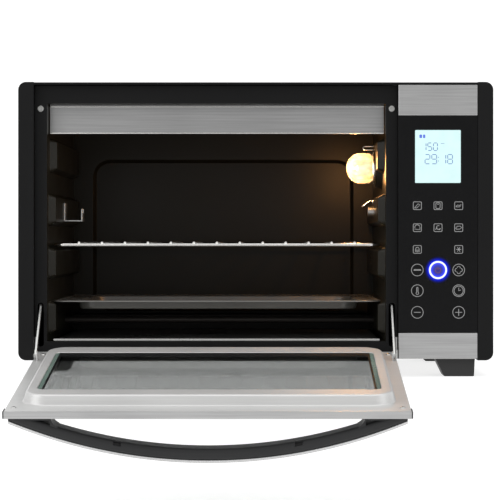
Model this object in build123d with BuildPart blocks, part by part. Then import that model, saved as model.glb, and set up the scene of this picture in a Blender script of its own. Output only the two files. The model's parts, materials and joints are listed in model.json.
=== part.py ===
from build123d import *
from math import cos, radians, sin, sqrt
import os

# Toaster oven with a drop-down glass door. Millimetres, +X to the right, +Y to the back, +Z up.
# The origin lies on the plane that the feet stand on, under the middle of the casing.

# ---------------------------------------------------------------- driving dimensions
BODY_WIDTH = 540.0
BODY_DEPTH = 370.0
BODY_HEIGHT = 316.5
FOOT_HEIGHT = 19.0
CASE_SHEET = 1.0
CASE_CORNER_RADIUS = 9.0
BEZEL_WIDTH = 17.5
BEZEL_THICKNESS = 1.5
RECESS_DEPTH = 12.0
COVER_STEP = 0.5
COVER_HEM = 2.5
FRAME_SHEET = 1.2

CAVITY_WIDTH = 387.0
CAVITY_HEIGHT = 271.5
CAVITY_DEPTH = 320.0
CAVITY_SHEET = 0.8
SILL_HEIGHT = 21.0
LEFT_MARGIN = 14.0
RIGHT_MARGIN = 13.5
RIB_DEPTH = 8.0
RIB_TAPER = 30.0
RIB_CORNER = 6.0
CHANNEL_HEIGHT = 24.0
LEDGE_HEIGHTS = (46.5, 108.0, 169.5)

DOOR_OPEN_ANGLE = 98.1
DOOR_LENGTH = 305.0
DOOR_HEEL = 3.5
DOOR_THICKNESS = 6.5
DOOR_SIDE_GAP = 3.75
DOOR_FRAME_GAP = 2.0
DOOR_SHEET = 1.0
HINGE_HEIGHT = 6.0
HINGE_INSET = 3.0
HINGE_PIN_RADIUS = 1.75
PAN_RISE = 11.0
PAN_SIDE_MARGIN = 14.5
PAN_HEEL_MARGIN = 22.0
PAN_TOE_MARGIN = 25.0
PAN_CORNER = 25.0
PAN_TAPER = 15.0
WINDOW_SIDE_BAND = 12.0
WINDOW_HEEL_BAND = 33.0
WINDOW_TOE_BAND = 28.0
WINDOW_CORNER = 8.0
GLASS_THICKNESS = 4.0
GLASS_LAP = 5.0
TRIM_TOE_WIDTH = 35.0
TRIM_HEEL_WIDTH = 34.0

HANDLE_LENGTH = 400.0
HANDLE_WIDTH = 24.0
HANDLE_PROJECTION = 47.0
HANDLE_ARC_RADIUS = 515.0
HANDLE_STRIP = 3.0
HANDLE_GRIP = 14.0
HANDLE_FOOT = 43.0
HANDLE_TOE_GAP = 4.0

LINK_PIVOT_LENGTH = 45.0
LINK_PIVOT_RISE = 5.0
LINK_PIN_RADIUS = 1.5
LINK_SLOPE = 44.0
LINK_REACH = 105.0
LINK_HEIGHT = 7.0
LINK_THICKNESS = 2.0
LINK_SLOT_WIDTH = 7.0
LINK_SLOT_LOW = 34.0
LINK_SLOT_HIGH = 84.0

RACK_WIRE_RADIUS = 2.0
RACK_BAR_RADIUS = 1.5
RACK_BARS = 13
RACK_BAR_PITCH = 26.4
RACK_DEPTH = 290.0
RACK_CORNER = 12.0
RACK_STAYS_Y = (-60.0, 30.0)
TRAY_DEPTH = 280.0
TRAY_BODY_DROP = 12.0
TRAY_FLANGE = 24.0
TRAY_SHEET = 0.8
TRAY_CORNER = 16.0
SHELF_SIDE_GAP = 4.5
SHELF_FRONT_INSET = 14.0
CRUMB_SHEET = 0.8
CRUMB_SIDE_GAP = 6.5
CRUMB_LIP_RADIUS = 1.2
CRUMB_FRONT_INSET = 6.0

SHIELD_LOW_EDGE = 278.0
SHIELD_INSET = 20.0
HEATER_RADIUS = 4.0
HEATER_END = 12.0
LOWER_HEATER_HEIGHT = 60.0
UPPER_HEATER_HEIGHT = 292.0
LOWER_HEATERS_Y = (-40.0, 80.0)
UPPER_HEATERS_Y = (-100.0, 40.0)

LAMP_Y = -75.0
LAMP_HEIGHT = 241.0
LAMP_GLASS_RADIUS = 18.0
LAMP_GLASS_REACH = 34.0
LAMP_NECK_RADIUS = 14.8
LAMP_COLLAR_RADIUS = 19.5
LAMP_COLLAR_THICKNESS = 3.0
LAMP_BOSS_RADIUS = 25.0
LAMP_SOCKET_RADIUS = 12.0

SPIT_Y = -47.5
SPIT_HEIGHT = 190.0
SPIT_BRACKET_REACH = 22.0
SPIT_SOCKET_RADIUS = 6.0
SPIT_SHAFT_RADIUS = 2.5
FAN_Y = 30.0
FAN_HEIGHT = 129.0
FAN_RADIUS = 44.0
FAN_SHAFT_RADIUS = 3.0
FAN_HOUSING_DEPTH = 22.0

HOUSING_WALL = 2.0
HOUSING_DEPTH = 34.0
PLATE_THICKNESS = 1.5
PLATE_TOP_HEIGHT = 35.0
PLATE_BOTTOM_HEIGHT = 29.0
PLATE_EDGE_GAP = 1.0
LCD_WIDTH = 51.6
LCD_HEIGHT = 59.8
LCD_LOW_EDGE = 220.9
LCD_BEHIND = 5.0
POWER_KEY_HEIGHT = 121.7
POWER_KEY_RADIUS = 10.5

GLAND_X = 225.0
GLAND_HEIGHT = 50.0
GLAND_BORE_RADIUS = 3.7

FOOT_DEPTH = 40.0
FOOT_TOP_INNER = 205.4
FOOT_TOP_OUTER = 250.3
FOOT_SOLE_INNER = 215.2
FOOT_SOLE_OUTER = 249.4
FOOT_INSET = 14.0
FOOT_SCREW_RADIUS = 2.0

# clearances
FIT = 0.2
RUNNING_FIT = 0.05
SLIDE_FIT = 0.3
CRUMB_FIT = 0.4

# ---------------------------------------------------------------- derived places
LEFT = -BODY_WIDTH / 2
RIGHT = BODY_WIDTH / 2
FRONT = -BODY_DEPTH / 2
BACK = BODY_DEPTH / 2
BOTTOM = FOOT_HEIGHT
TOP = FOOT_HEIGHT + BODY_HEIGHT
BEZEL_LEFT = LEFT + BEZEL_WIDTH
BEZEL_RIGHT = RIGHT - BEZEL_WIDTH
FRAME_FRONT = FRONT + RECESS_DEPTH
FRAME_BACK = FRAME_FRONT + FRAME_SHEET
COVER_TOP = TOP - COVER_STEP
COVER_UNDER = COVER_TOP - CASE_SHEET
BASE_UNDER = BOTTOM + CASE_SHEET
BASE_TOP = BASE_UNDER + CASE_SHEET
BACK_INSIDE = BACK - CASE_SHEET
FRAME_TOP = COVER_UNDER - COVER_HEM + CASE_SHEET - FIT
FRAME_LOW = BASE_TOP + FIT

CAVITY_LEFT = BEZEL_LEFT + LEFT_MARGIN
CAVITY_RIGHT = CAVITY_LEFT + CAVITY_WIDTH
CAVITY_MID = (CAVITY_LEFT + CAVITY_RIGHT) / 2
CAVITY_BOTTOM = BOTTOM + SILL_HEIGHT
CAVITY_TOP = CAVITY_BOTTOM + CAVITY_HEIGHT
CAVITY_REAR = FRAME_BACK + CAVITY_DEPTH
PANEL_LEFT = CAVITY_RIGHT + RIGHT_MARGIN
PANEL_RIGHT = BEZEL_RIGHT - FIT
PANEL_MID = (PANEL_LEFT + PANEL_RIGHT) / 2
PANEL_FACE = FRONT + PLATE_THICKNESS
LEDGES = [CAVITY_BOTTOM + height for height in LEDGE_HEIGHTS]
RIB_FACE_LEFT = CAVITY_LEFT + RIB_DEPTH
RIB_FACE_RIGHT = CAVITY_RIGHT - RIB_DEPTH

# The door's own plane: its x runs along the hinge, its y from the hinge to the free edge,
# and its z out of the door's outer face. HINGE lies on the hinge axis.
HINGE_Y = FRAME_FRONT - DOOR_FRAME_GAP - HINGE_INSET
HINGE_Z = BOTTOM + HINGE_HEIGHT
DOOR_DROP = radians(DOOR_OPEN_ANGLE - 90)
DOOR = Plane(
    origin=(0, HINGE_Y, HINGE_Z), x_dir=(1, 0, 0), z_dir=(0, sin(DOOR_DROP), -cos(DOOR_DROP))
)
DOOR_LEFT = BEZEL_LEFT + DOOR_SIDE_GAP
DOOR_RIGHT = PANEL_LEFT - DOOR_SIDE_GAP
DOOR_MID = (DOOR_LEFT + DOOR_RIGHT) / 2
DOOR_INNER = -HINGE_INSET
DOOR_OUTER = DOOR_INNER + DOOR_THICKNESS
TRIM_FACE = DOOR_OUTER + DOOR_SHEET
PAN_LEFT = DOOR_LEFT + PAN_SIDE_MARGIN
PAN_RIGHT = DOOR_RIGHT - PAN_SIDE_MARGIN
PAN_HEEL = PAN_HEEL_MARGIN
PAN_TOE = DOOR_LENGTH - PAN_TOE_MARGIN
WINDOW_LEFT = PAN_LEFT + WINDOW_SIDE_BAND
WINDOW_RIGHT = PAN_RIGHT - WINDOW_SIDE_BAND
WINDOW_HEEL = PAN_HEEL + WINDOW_HEEL_BAND
WINDOW_TOE = PAN_TOE - WINDOW_TOE_BAND

LINK_PIVOT_OUT = DOOR_INNER - LINK_PIVOT_RISE
LINK_LEFT_X = (BEZEL_LEFT + CAVITY_LEFT) / 2 - FIT
LINK_RIGHT_X = (CAVITY_RIGHT + PANEL_LEFT) / 2


def block(x_low, x_high, y_low, y_high, z_low, z_high, mode=Mode.ADD):
    """A block between two corners, in the plane of the part being built."""
    middle = ((x_low + x_high) / 2, (y_low + y_high) / 2, (z_low + z_high) / 2)
    with Locations(middle):
        Box(x_high - x_low, y_high - y_low, z_high - z_low, mode=mode)


def rod(start, end, radius, mode=Mode.ADD):
    """A round rod from one point to another, in the row's frame."""
    direction = Vector(*end) - Vector(*start)
    with BuildSketch(Plane(origin=start, z_dir=direction)) as section:
        Circle(radius)
    extrude(section.sketch, amount=direction.length, mode=mode)


def wall_plane(side, x):
    """The plane of a cavity side wall, facing into the cavity. side is 1 on the left and -1 on the right."""
    return Plane(origin=(x, 0, 0), x_dir=(0, side, 0), z_dir=(side, 0, 0))


def finish(part, name):
    """Names a finished piece and writes it."""
    part.part.label = name
    export_step(part.part, f"parts/{name}.step")


os.makedirs("parts", exist_ok=True)

# ---------------------------------------------------------------- casing
VENT_LENGTH = 26.0
VENT_WIDTH = 3.0
VENT_PITCH = 9.0
SIDE_VENTS = 14

for name, side in (("side_panel_left", -1), ("side_panel_right", 1)):
    with BuildPart() as side_panel:
        outer_edge = side * BODY_WIDTH / 2
        with BuildSketch(Plane.XZ.offset(-BACK)) as outline:
            with Locations((outer_edge - side * BEZEL_WIDTH / 2, (BOTTOM + TOP) / 2)):
                Rectangle(BEZEL_WIDTH, BODY_HEIGHT)
            fillet(outline.vertices().group_by(Axis.X)[0 if side < 0 else -1], CASE_CORNER_RADIUS)
        extrude(amount=BODY_DEPTH)
        with BuildSketch(Plane.XZ.offset(-BACK)) as hollow:
            with Locations((outer_edge - side * (CASE_SHEET + BEZEL_WIDTH / 2), (BOTTOM + TOP) / 2)):
                Rectangle(BEZEL_WIDTH, BODY_HEIGHT - 2 * CASE_SHEET)
            fillet(
                hollow.vertices().group_by(Axis.X)[0 if side < 0 else -1],
                CASE_CORNER_RADIUS - CASE_SHEET,
            )
        extrude(amount=BACK - FRAME_FRONT, mode=Mode.SUBTRACT)
        with BuildSketch(Plane.XZ.offset(-FRAME_FRONT)) as bezel_hollow:
            with Locations((outer_edge - side * BEZEL_WIDTH / 2, (BOTTOM + TOP) / 2)):
                Rectangle(BEZEL_WIDTH - 2 * CASE_SHEET, BODY_HEIGHT - 2 * CASE_SHEET)
            fillet(
                bezel_hollow.vertices().group_by(Axis.X)[0 if side < 0 else -1],
                CASE_CORNER_RADIUS - CASE_SHEET,
            )
        extrude(amount=RECESS_DEPTH - BEZEL_THICKNESS, mode=Mode.SUBTRACT)
        for row_height in (TOP - 60, BOTTOM + 60):
            with BuildSketch(Plane.YZ.offset(outer_edge - side * CASE_SHEET)):
                with Locations((BACK / 2, row_height)):
                    with GridLocations(VENT_PITCH, 1, SIDE_VENTS, 1):
                        SlotOverall(VENT_LENGTH, VENT_WIDTH, rotation=90)
            extrude(amount=side * CASE_SHEET, mode=Mode.SUBTRACT)
    finish(side_panel, name)

with BuildPart() as top_cover:
    block(BEZEL_LEFT, BEZEL_RIGHT, FRONT, BACK, COVER_UNDER, COVER_TOP)
    block(BEZEL_LEFT, BEZEL_RIGHT, FRONT, FRONT + CASE_SHEET, COVER_TOP - COVER_HEM, COVER_UNDER)
    with BuildSketch(Plane.XY.offset(COVER_UNDER)):
        with Locations((PANEL_MID, BACK / 2)):
            with GridLocations(1, VENT_PITCH, 1, SIDE_VENTS):
                SlotOverall(VENT_LENGTH * 2, VENT_WIDTH)
    extrude(amount=CASE_SHEET, mode=Mode.SUBTRACT)
finish(top_cover, "top_cover")

foot_centres = [
    (side * (FOOT_SOLE_INNER + FOOT_SOLE_OUTER) / 2, end * (BODY_DEPTH / 2 - FOOT_INSET - FOOT_DEPTH / 2))
    for side in (-1, 1)
    for end in (-1, 1)
]

with BuildPart() as base_pan:
    base_half = BODY_WIDTH / 2 - CASE_CORNER_RADIUS
    block(-base_half, base_half, FRAME_BACK, BACK_INSIDE, BASE_UNDER, BASE_TOP)
    with BuildSketch(Plane.XY.offset(BASE_UNDER)):
        with Locations((CAVITY_MID, 0)):
            with GridLocations(VENT_LENGTH + VENT_PITCH, VENT_PITCH, 5, SIDE_VENTS):
                SlotOverall(VENT_LENGTH, VENT_WIDTH)
        with Locations(*foot_centres):
            Circle(FOOT_SCREW_RADIUS)
    extrude(amount=CASE_SHEET, mode=Mode.SUBTRACT)
finish(base_pan, "base_pan")

COVER_SCREW_RADIUS = 1.75
cover_screw_places = [
    (x, z)
    for x in (LEFT + BEZEL_WIDTH, 0, RIGHT - BEZEL_WIDTH)
    for z in (BOTTOM + BEZEL_WIDTH / 2, TOP - BEZEL_WIDTH)
]
GLAND_BODY_RADIUS = GLAND_BORE_RADIUS + 4

with BuildPart() as back_panel:
    block(LEFT + CASE_SHEET, RIGHT - CASE_SHEET, BACK_INSIDE, BACK, BASE_UNDER, COVER_UNDER)
    fillet(back_panel.edges().filter_by(Axis.Y), CASE_CORNER_RADIUS)
    with BuildSketch(Plane.XZ.offset(-BACK)):
        for vents_x in (CAVITY_MID, PANEL_MID):
            with Locations((vents_x, TOP - 60)):
                with GridLocations(VENT_PITCH, 1, 8, 1):
                    SlotOverall(VENT_LENGTH, VENT_WIDTH, rotation=90)
        with Locations(*cover_screw_places):
            Circle(COVER_SCREW_RADIUS)
        with Locations((GLAND_X, GLAND_HEIGHT)):
            Circle(GLAND_BODY_RADIUS)
    extrude(amount=CASE_SHEET, mode=Mode.SUBTRACT)
finish(back_panel, "back_panel")

with BuildPart() as cover_screws:
    for x, z in cover_screw_places:
        rod((x, BACK_INSIDE - 4, z), (x, BACK, z), COVER_SCREW_RADIUS)
        rod((x, BACK, z), (x, BACK + 1.5, z), 2 * COVER_SCREW_RADIUS)
finish(cover_screws, "cover_screws")

with BuildPart() as cord_gland:
    rod((GLAND_X, BACK_INSIDE - 8, GLAND_HEIGHT), (GLAND_X, BACK, GLAND_HEIGHT), GLAND_BODY_RADIUS)
    rod((GLAND_X, BACK, GLAND_HEIGHT), (GLAND_X, BACK + 3, GLAND_HEIGHT), GLAND_BODY_RADIUS + 3)
    rod(
        (GLAND_X, BACK_INSIDE - 8, GLAND_HEIGHT),
        (GLAND_X, BACK + 3, GLAND_HEIGHT),
        GLAND_BORE_RADIUS,
        mode=Mode.SUBTRACT,
    )
finish(cord_gland, "cord_gland")

with BuildPart() as front_frame:
    frame_right = PANEL_LEFT - FIT
    block(BEZEL_LEFT + FIT, frame_right, FRAME_FRONT, FRAME_BACK, FRAME_LOW, FRAME_TOP)
    block(CAVITY_LEFT, CAVITY_RIGHT, FRAME_FRONT, FRAME_BACK, CAVITY_BOTTOM, CAVITY_TOP, Mode.SUBTRACT)
    with BuildSketch(Plane.XZ.offset(-FRAME_FRONT)):
        for slot_x in (LINK_LEFT_X, LINK_RIGHT_X):
            with Locations((slot_x, (LINK_SLOT_LOW + LINK_SLOT_HIGH) / 2)):
                SlotOverall(LINK_SLOT_HIGH - LINK_SLOT_LOW, LINK_SLOT_WIDTH, rotation=90)
    extrude(amount=-FRAME_SHEET, mode=Mode.SUBTRACT)
    bumper_places = [(x, CAVITY_TOP - 5.8) for x in (LINK_LEFT_X, LINK_RIGHT_X)]
    with BuildSketch(Plane.XZ.offset(-FRAME_FRONT)):
        with Locations(*bumper_places):
            Circle(2)
    extrude(amount=-FRAME_SHEET, mode=Mode.SUBTRACT)
finish(front_frame, "front_frame")

with BuildPart() as door_bumpers:
    for x, z in bumper_places:
        rod((x, FRAME_FRONT - DOOR_FRAME_GAP + SLIDE_FIT, z), (x, FRAME_FRONT, z), 3.5)
        rod((x, FRAME_FRONT, z), (x, FRAME_BACK + 1.5, z), 2)
finish(door_bumpers, "door_bumpers")

with BuildPart() as feet:
    for x, y in foot_centres:
        side = 1 if x > 0 else -1
        with BuildSketch(Plane.XZ.offset(-(y + FOOT_DEPTH / 2))) as foot_side:
            with BuildLine():
                Polyline(
                    (side * FOOT_SOLE_INNER, 0),
                    (side * FOOT_SOLE_OUTER, 0),
                    (side * FOOT_TOP_OUTER, BASE_UNDER),
                    (side * FOOT_TOP_INNER, BASE_UNDER),
                    close=True,
                )
            make_face()
            fillet(foot_side.vertices().group_by(Axis.Y)[0], 1.5)
        extrude(foot_side.sketch, amount=FOOT_DEPTH)
    for x, y in foot_centres:
        rod((x, y, 0), (x, y, BASE_UNDER), FOOT_SCREW_RADIUS + FIT, mode=Mode.SUBTRACT)
        rod((x, y, 0), (x, y, FOOT_HEIGHT / 2), 2.5 * FOOT_SCREW_RADIUS, mode=Mode.SUBTRACT)
finish(feet, "feet")

with BuildPart() as foot_screws:
    for x, y in foot_centres:
        rod((x, y, FOOT_HEIGHT / 2 - 2), (x, y, FOOT_HEIGHT / 2), 2 * FOOT_SCREW_RADIUS)
        rod((x, y, FOOT_HEIGHT / 2), (x, y, BASE_TOP), FOOT_SCREW_RADIUS)
finish(foot_screws, "foot_screws")

# ---------------------------------------------------------------- cavity
RIB_FRONT = FRAME_BACK + 14
RIB_REAR = CAVITY_REAR - 14
rib_edges = [CAVITY_BOTTOM + 7]
for ledge in LEDGES:
    rib_edges += [ledge, ledge + CHANNEL_HEIGHT]
ribs = [(rib_edges[i], rib_edges[i + 1]) for i in range(0, len(rib_edges) - 1, 2)]
TOP_RIB_FRONT = FRAME_BACK + SHIELD_INSET + 8
top_rib = (rib_edges[-1], SHIELD_LOW_EDGE - 4)


def pressed_ribs(side, depth_shift, mode):
    """The raised stretches of a side wall between the shelf channels, moved outwards by depth_shift."""
    face = CAVITY_LEFT if side > 0 else CAVITY_RIGHT
    with BuildSketch(wall_plane(side, face - side * depth_shift)) as rib_outlines:
        for low, high in ribs:
            with Locations((side * (RIB_FRONT + RIB_REAR) / 2, (low + high) / 2)):
                RectangleRounded(RIB_REAR - RIB_FRONT, high - low, RIB_CORNER)
        with Locations((side * (TOP_RIB_FRONT + RIB_REAR) / 2, sum(top_rib) / 2)):
            RectangleRounded(RIB_REAR - TOP_RIB_FRONT, top_rib[1] - top_rib[0], RIB_CORNER)
    extrude(rib_outlines.sketch, amount=RIB_DEPTH, taper=RIB_TAPER, mode=mode)


def heater_places(side):
    """Each heater end's y, z and the wall face that it goes through, on one side wall."""
    base = CAVITY_LEFT if side > 0 else CAVITY_RIGHT
    lower = [(y, LOWER_HEATER_HEIGHT, base + side * RIB_DEPTH) for y in LOWER_HEATERS_Y]
    upper = [(y, UPPER_HEATER_HEIGHT, base) for y in UPPER_HEATERS_Y]
    return lower + upper


HEATER_HOLE = HEATER_RADIUS + 0.6
SPIT_HOLE = SPIT_SOCKET_RADIUS + 0.3
LAMP_HOLE = LAMP_SOCKET_RADIUS + 1
PERFORATION_RADIUS = 1.8

for name, side in (("cavity_side_left", 1), ("cavity_side_right", -1)):
    wall_face = CAVITY_LEFT if side > 0 else CAVITY_RIGHT
    back_face = wall_face - side * CAVITY_SHEET
    with BuildPart() as cavity_side:
        low_x, high_x = sorted((wall_face, back_face))
        block(low_x, high_x, FRAME_BACK, CAVITY_REAR, CAVITY_BOTTOM, CAVITY_TOP)
        pressed_ribs(side, 0, Mode.ADD)
        if side < 0:
            with BuildSketch(wall_plane(side, wall_face)) as lamp_boss:
                with Locations((side * LAMP_Y, LAMP_HEIGHT)):
                    Circle(LAMP_BOSS_RADIUS)
            extrude(lamp_boss.sketch, amount=RIB_DEPTH, taper=PAN_TAPER)
        pressed_ribs(side, CAVITY_SHEET, Mode.SUBTRACT)
        if side < 0:
            with BuildSketch(wall_plane(side, back_face)) as lamp_boss_back:
                with Locations((side * LAMP_Y, LAMP_HEIGHT)):
                    Circle(LAMP_BOSS_RADIUS)
            extrude(lamp_boss_back.sketch, amount=RIB_DEPTH, taper=PAN_TAPER, mode=Mode.SUBTRACT)
        for y, z, _ in heater_places(side):
            rod((back_face, y, z), (wall_face + side * RIB_DEPTH, y, z), HEATER_HOLE, Mode.SUBTRACT)
        if side < 0:
            with BuildSketch(wall_plane(side, back_face)) as openings:
                with Locations((side * LAMP_Y, LAMP_HEIGHT)):
                    Circle(LAMP_HOLE)
                with Locations((side * SPIT_Y, SPIT_HEIGHT)):
                    Circle(SPIT_HOLE)
                with Locations((side * FAN_Y, FAN_HEIGHT)):
                    Circle(PERFORATION_RADIUS)
                    with PolarLocations(5.5, 6):
                        Circle(PERFORATION_RADIUS)
                    with PolarLocations(11, 12):
                        Circle(PERFORATION_RADIUS)
            extrude(openings.sketch, amount=RIB_DEPTH + CAVITY_SHEET, mode=Mode.SUBTRACT)
    finish(cavity_side, name)

LINER_LEFT = CAVITY_LEFT - CAVITY_SHEET
LINER_RIGHT = CAVITY_RIGHT + CAVITY_SHEET

with BuildPart() as cavity_floor:
    block(LINER_LEFT, LINER_RIGHT, FRAME_BACK, CAVITY_REAR, CAVITY_BOTTOM - CAVITY_SHEET, CAVITY_BOTTOM)
finish(cavity_floor, "cavity_floor")

with BuildPart() as cavity_ceiling:
    block(LINER_LEFT, LINER_RIGHT, FRAME_BACK, CAVITY_REAR, CAVITY_TOP, CAVITY_TOP + CAVITY_SHEET)
finish(cavity_ceiling, "cavity_ceiling")

BACK_RECESS_SIDE = 25.0
BACK_RECESS_LOW = 24.0
BACK_RECESS_HIGH = 52.0
BACK_RECESS_DEPTH = 7.0
BACK_RECESS_CORNER = 22.0
facing_back = Plane(origin=(0, 0, 0), x_dir=(-1, 0, 0), z_dir=(0, 1, 0))

with BuildPart() as cavity_back:
    block(
        LINER_LEFT,
        LINER_RIGHT,
        CAVITY_REAR,
        CAVITY_REAR + CAVITY_SHEET,
        CAVITY_BOTTOM - CAVITY_SHEET,
        CAVITY_TOP + CAVITY_SHEET,
    )
    recess_low = CAVITY_BOTTOM + BACK_RECESS_LOW
    recess_high = CAVITY_TOP - BACK_RECESS_HIGH
    for start, mode in ((CAVITY_REAR + CAVITY_SHEET, Mode.ADD), (CAVITY_REAR, Mode.SUBTRACT)):
        with BuildSketch(facing_back.offset(start)):
            with Locations((-CAVITY_MID, (recess_low + recess_high) / 2)):
                RectangleRounded(
                    CAVITY_WIDTH - 2 * BACK_RECESS_SIDE, recess_high - recess_low, BACK_RECESS_CORNER
                )
        extrude(amount=BACK_RECESS_DEPTH, taper=RIB_TAPER, mode=mode)
finish(cavity_back, "cavity_back")

SHIELD_SIDE_GAP = 1.0
SHIELD_FLANGE = 12.0
SHIELD_HEM = 2.5
SHIELD_FRONT = FRAME_BACK + SHIELD_INSET

with BuildPart() as heater_shield:
    shield_left = CAVITY_LEFT + SHIELD_SIDE_GAP
    shield_right = CAVITY_RIGHT - SHIELD_SIDE_GAP
    plate_back = SHIELD_FRONT + CAVITY_SHEET
    flange_back = SHIELD_FRONT + SHIELD_FLANGE
    hem_top = SHIELD_LOW_EDGE + CAVITY_SHEET
    block(shield_left, shield_right, SHIELD_FRONT, plate_back, SHIELD_LOW_EDGE, CAVITY_TOP)
    block(shield_left, shield_right, plate_back, flange_back, CAVITY_TOP - CAVITY_SHEET, CAVITY_TOP)
    block(shield_left, shield_right, SHIELD_FRONT - SHIELD_HEM, SHIELD_FRONT, SHIELD_LOW_EDGE, hem_top)
finish(heater_shield, "heater_shield")

TERMINAL_RADIUS = 1.5
TERMINAL_LENGTH = 6.0
for name, heater_z, heater_ys, wall_in in (
    ("lower_heaters", LOWER_HEATER_HEIGHT, LOWER_HEATERS_Y, RIB_DEPTH),
    ("upper_heaters", UPPER_HEATER_HEIGHT, UPPER_HEATERS_Y, 0),
):
    with BuildPart() as heaters:
        tube_left = CAVITY_LEFT + wall_in - HEATER_END
        tube_right = CAVITY_RIGHT - wall_in + HEATER_END
        for y in heater_ys:
            rod((tube_left, y, heater_z), (tube_right, y, heater_z), HEATER_RADIUS)
            rod(
                (tube_left - TERMINAL_LENGTH, y, heater_z),
                (tube_right + TERMINAL_LENGTH, y, heater_z),
                TERMINAL_RADIUS,
            )
    finish(heaters, name)

INSULATOR_RADIUS = 7.0
INSULATOR_LENGTH = 5.0
with BuildPart() as heater_insulators:
    for side in (1, -1):
        for y, z, face in heater_places(side):
            outer_skin = face - side * CAVITY_SHEET
            far_end = outer_skin - side * INSULATOR_LENGTH
            rod((outer_skin, y, z), (far_end, y, z), INSULATOR_RADIUS)
            rod((outer_skin, y, z), (far_end, y, z), HEATER_RADIUS + RUNNING_FIT, Mode.SUBTRACT)
finish(heater_insulators, "heater_insulators")

# ---------------------------------------------------------------- lamp
# The lamp's parts are turned about an axis that points out of the right wall into the cavity.
LAMP_FACE = RIB_FACE_RIGHT
lamp_axis = Axis((LAMP_FACE, LAMP_Y, LAMP_HEIGHT), (-1, 0, 0))
lamp_plane = Plane(origin=(LAMP_FACE, LAMP_Y, LAMP_HEIGHT), x_dir=(-1, 0, 0), z_dir=(0, 1, 0))
GLASS_WALL = 2.0
SHOULDER = LAMP_COLLAR_THICKNESS + 0.3
DOME_START = LAMP_GLASS_REACH - LAMP_GLASS_RADIUS

with BuildPart() as lamp_glass:
    with BuildSketch(lamp_plane) as dome_section:
        with BuildLine():
            foot_out = Line((0, LAMP_NECK_RADIUS), (SHOULDER, LAMP_NECK_RADIUS))
            shoulder_out = Line(foot_out @ 1, (SHOULDER + 3, LAMP_GLASS_RADIUS))
            side_out = Line(shoulder_out @ 1, (DOME_START, LAMP_GLASS_RADIUS))
            dome_out = RadiusArc(side_out @ 1, (LAMP_GLASS_REACH, 0), LAMP_GLASS_RADIUS)
            crown = Line(dome_out @ 1, (LAMP_GLASS_REACH - GLASS_WALL, 0))
            dome_in = RadiusArc(
                crown @ 1, (DOME_START, LAMP_GLASS_RADIUS - GLASS_WALL), -(LAMP_GLASS_RADIUS - GLASS_WALL)
            )
            side_in = Line(dome_in @ 1, (SHOULDER + 3, LAMP_GLASS_RADIUS - GLASS_WALL))
            shoulder_in = Line(side_in @ 1, (SHOULDER, LAMP_NECK_RADIUS - GLASS_WALL))
            foot_in = Line(shoulder_in @ 1, (0, LAMP_NECK_RADIUS - GLASS_WALL))
            Line(foot_in @ 1, foot_out @ 0)
        make_face()
    revolve(axis=lamp_axis)
finish(lamp_glass, "lamp_glass")

with BuildPart() as lamp_collar:
    collar_end = LAMP_FACE - LAMP_COLLAR_THICKNESS
    rod((LAMP_FACE, LAMP_Y, LAMP_HEIGHT), (collar_end, LAMP_Y, LAMP_HEIGHT), LAMP_COLLAR_RADIUS)
    rod(
        (LAMP_FACE, LAMP_Y, LAMP_HEIGHT),
        (collar_end, LAMP_Y, LAMP_HEIGHT),
        LAMP_NECK_RADIUS + FIT,
        Mode.SUBTRACT,
    )
    chamfer(lamp_collar.faces().sort_by(Axis.X)[0].edges().sort_by(SortBy.LENGTH)[-1], 0.8)
finish(lamp_collar, "lamp_collar")

BULB_RADIUS = 9.0
BULB_CENTRE = 13.0
BULB_BASE_RADIUS = 6.0
BULB_BASE_DEPTH = 10.0
BULB_NECK = BULB_CENTRE - sqrt(BULB_RADIUS**2 - BULB_BASE_RADIUS**2)
with BuildPart() as lamp_bulb:
    with BuildSketch(lamp_plane):
        with BuildLine():
            base_end = Line((-BULB_BASE_DEPTH, 0), (-BULB_BASE_DEPTH, BULB_BASE_RADIUS))
            base_side = Line(base_end @ 1, (BULB_NECK, BULB_BASE_RADIUS))
            bulb_side = ThreePointArc(
                base_side @ 1, (BULB_CENTRE, BULB_RADIUS), (BULB_CENTRE + BULB_RADIUS, 0)
            )
            Line(bulb_side @ 1, base_end @ 0)
        make_face()
    revolve(axis=lamp_axis)
finish(lamp_bulb, "lamp_bulb")

SOCKET_LENGTH = 28.0
with BuildPart() as lamp_socket:
    rod(
        (LAMP_FACE, LAMP_Y, LAMP_HEIGHT),
        (LAMP_FACE + SOCKET_LENGTH, LAMP_Y, LAMP_HEIGHT),
        LAMP_SOCKET_RADIUS,
    )
    rod(
        (LAMP_FACE, LAMP_Y, LAMP_HEIGHT),
        (LAMP_FACE + BULB_BASE_DEPTH, LAMP_Y, LAMP_HEIGHT),
        BULB_BASE_RADIUS + RUNNING_FIT,
        Mode.SUBTRACT,
    )
finish(lamp_socket, "lamp_socket")

# ---------------------------------------------------------------- spit drive and fan
BRACKET_SHEET = 1.5
BRACKET_HALF = 12.5
BRACKET_DROP = 12.0
with BuildPart() as spit_bracket:
    reach_end = RIB_FACE_LEFT + SPIT_BRACKET_REACH
    shelf_z = SPIT_HEIGHT - BRACKET_DROP
    near, far = SPIT_Y - BRACKET_HALF, SPIT_Y + BRACKET_HALF
    block(RIB_FACE_LEFT, RIB_FACE_LEFT + BRACKET_SHEET, near, far, shelf_z, SPIT_HEIGHT + 10)
    block(RIB_FACE_LEFT, reach_end, near, far, shelf_z, shelf_z + BRACKET_SHEET)
    block(reach_end - BRACKET_SHEET, reach_end, near, far, shelf_z, SPIT_HEIGHT + 3)
    rod((reach_end - BRACKET_SHEET, SPIT_Y, SPIT_HEIGHT), (reach_end, SPIT_Y, SPIT_HEIGHT), 5, Mode.SUBTRACT)
    notch_near, notch_far = SPIT_Y - 5, SPIT_Y + 5
    block(reach_end - BRACKET_SHEET, reach_end, notch_near, notch_far, SPIT_HEIGHT, SPIT_HEIGHT + 3, Mode.SUBTRACT)
finish(spit_bracket, "spit_bracket")

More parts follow.
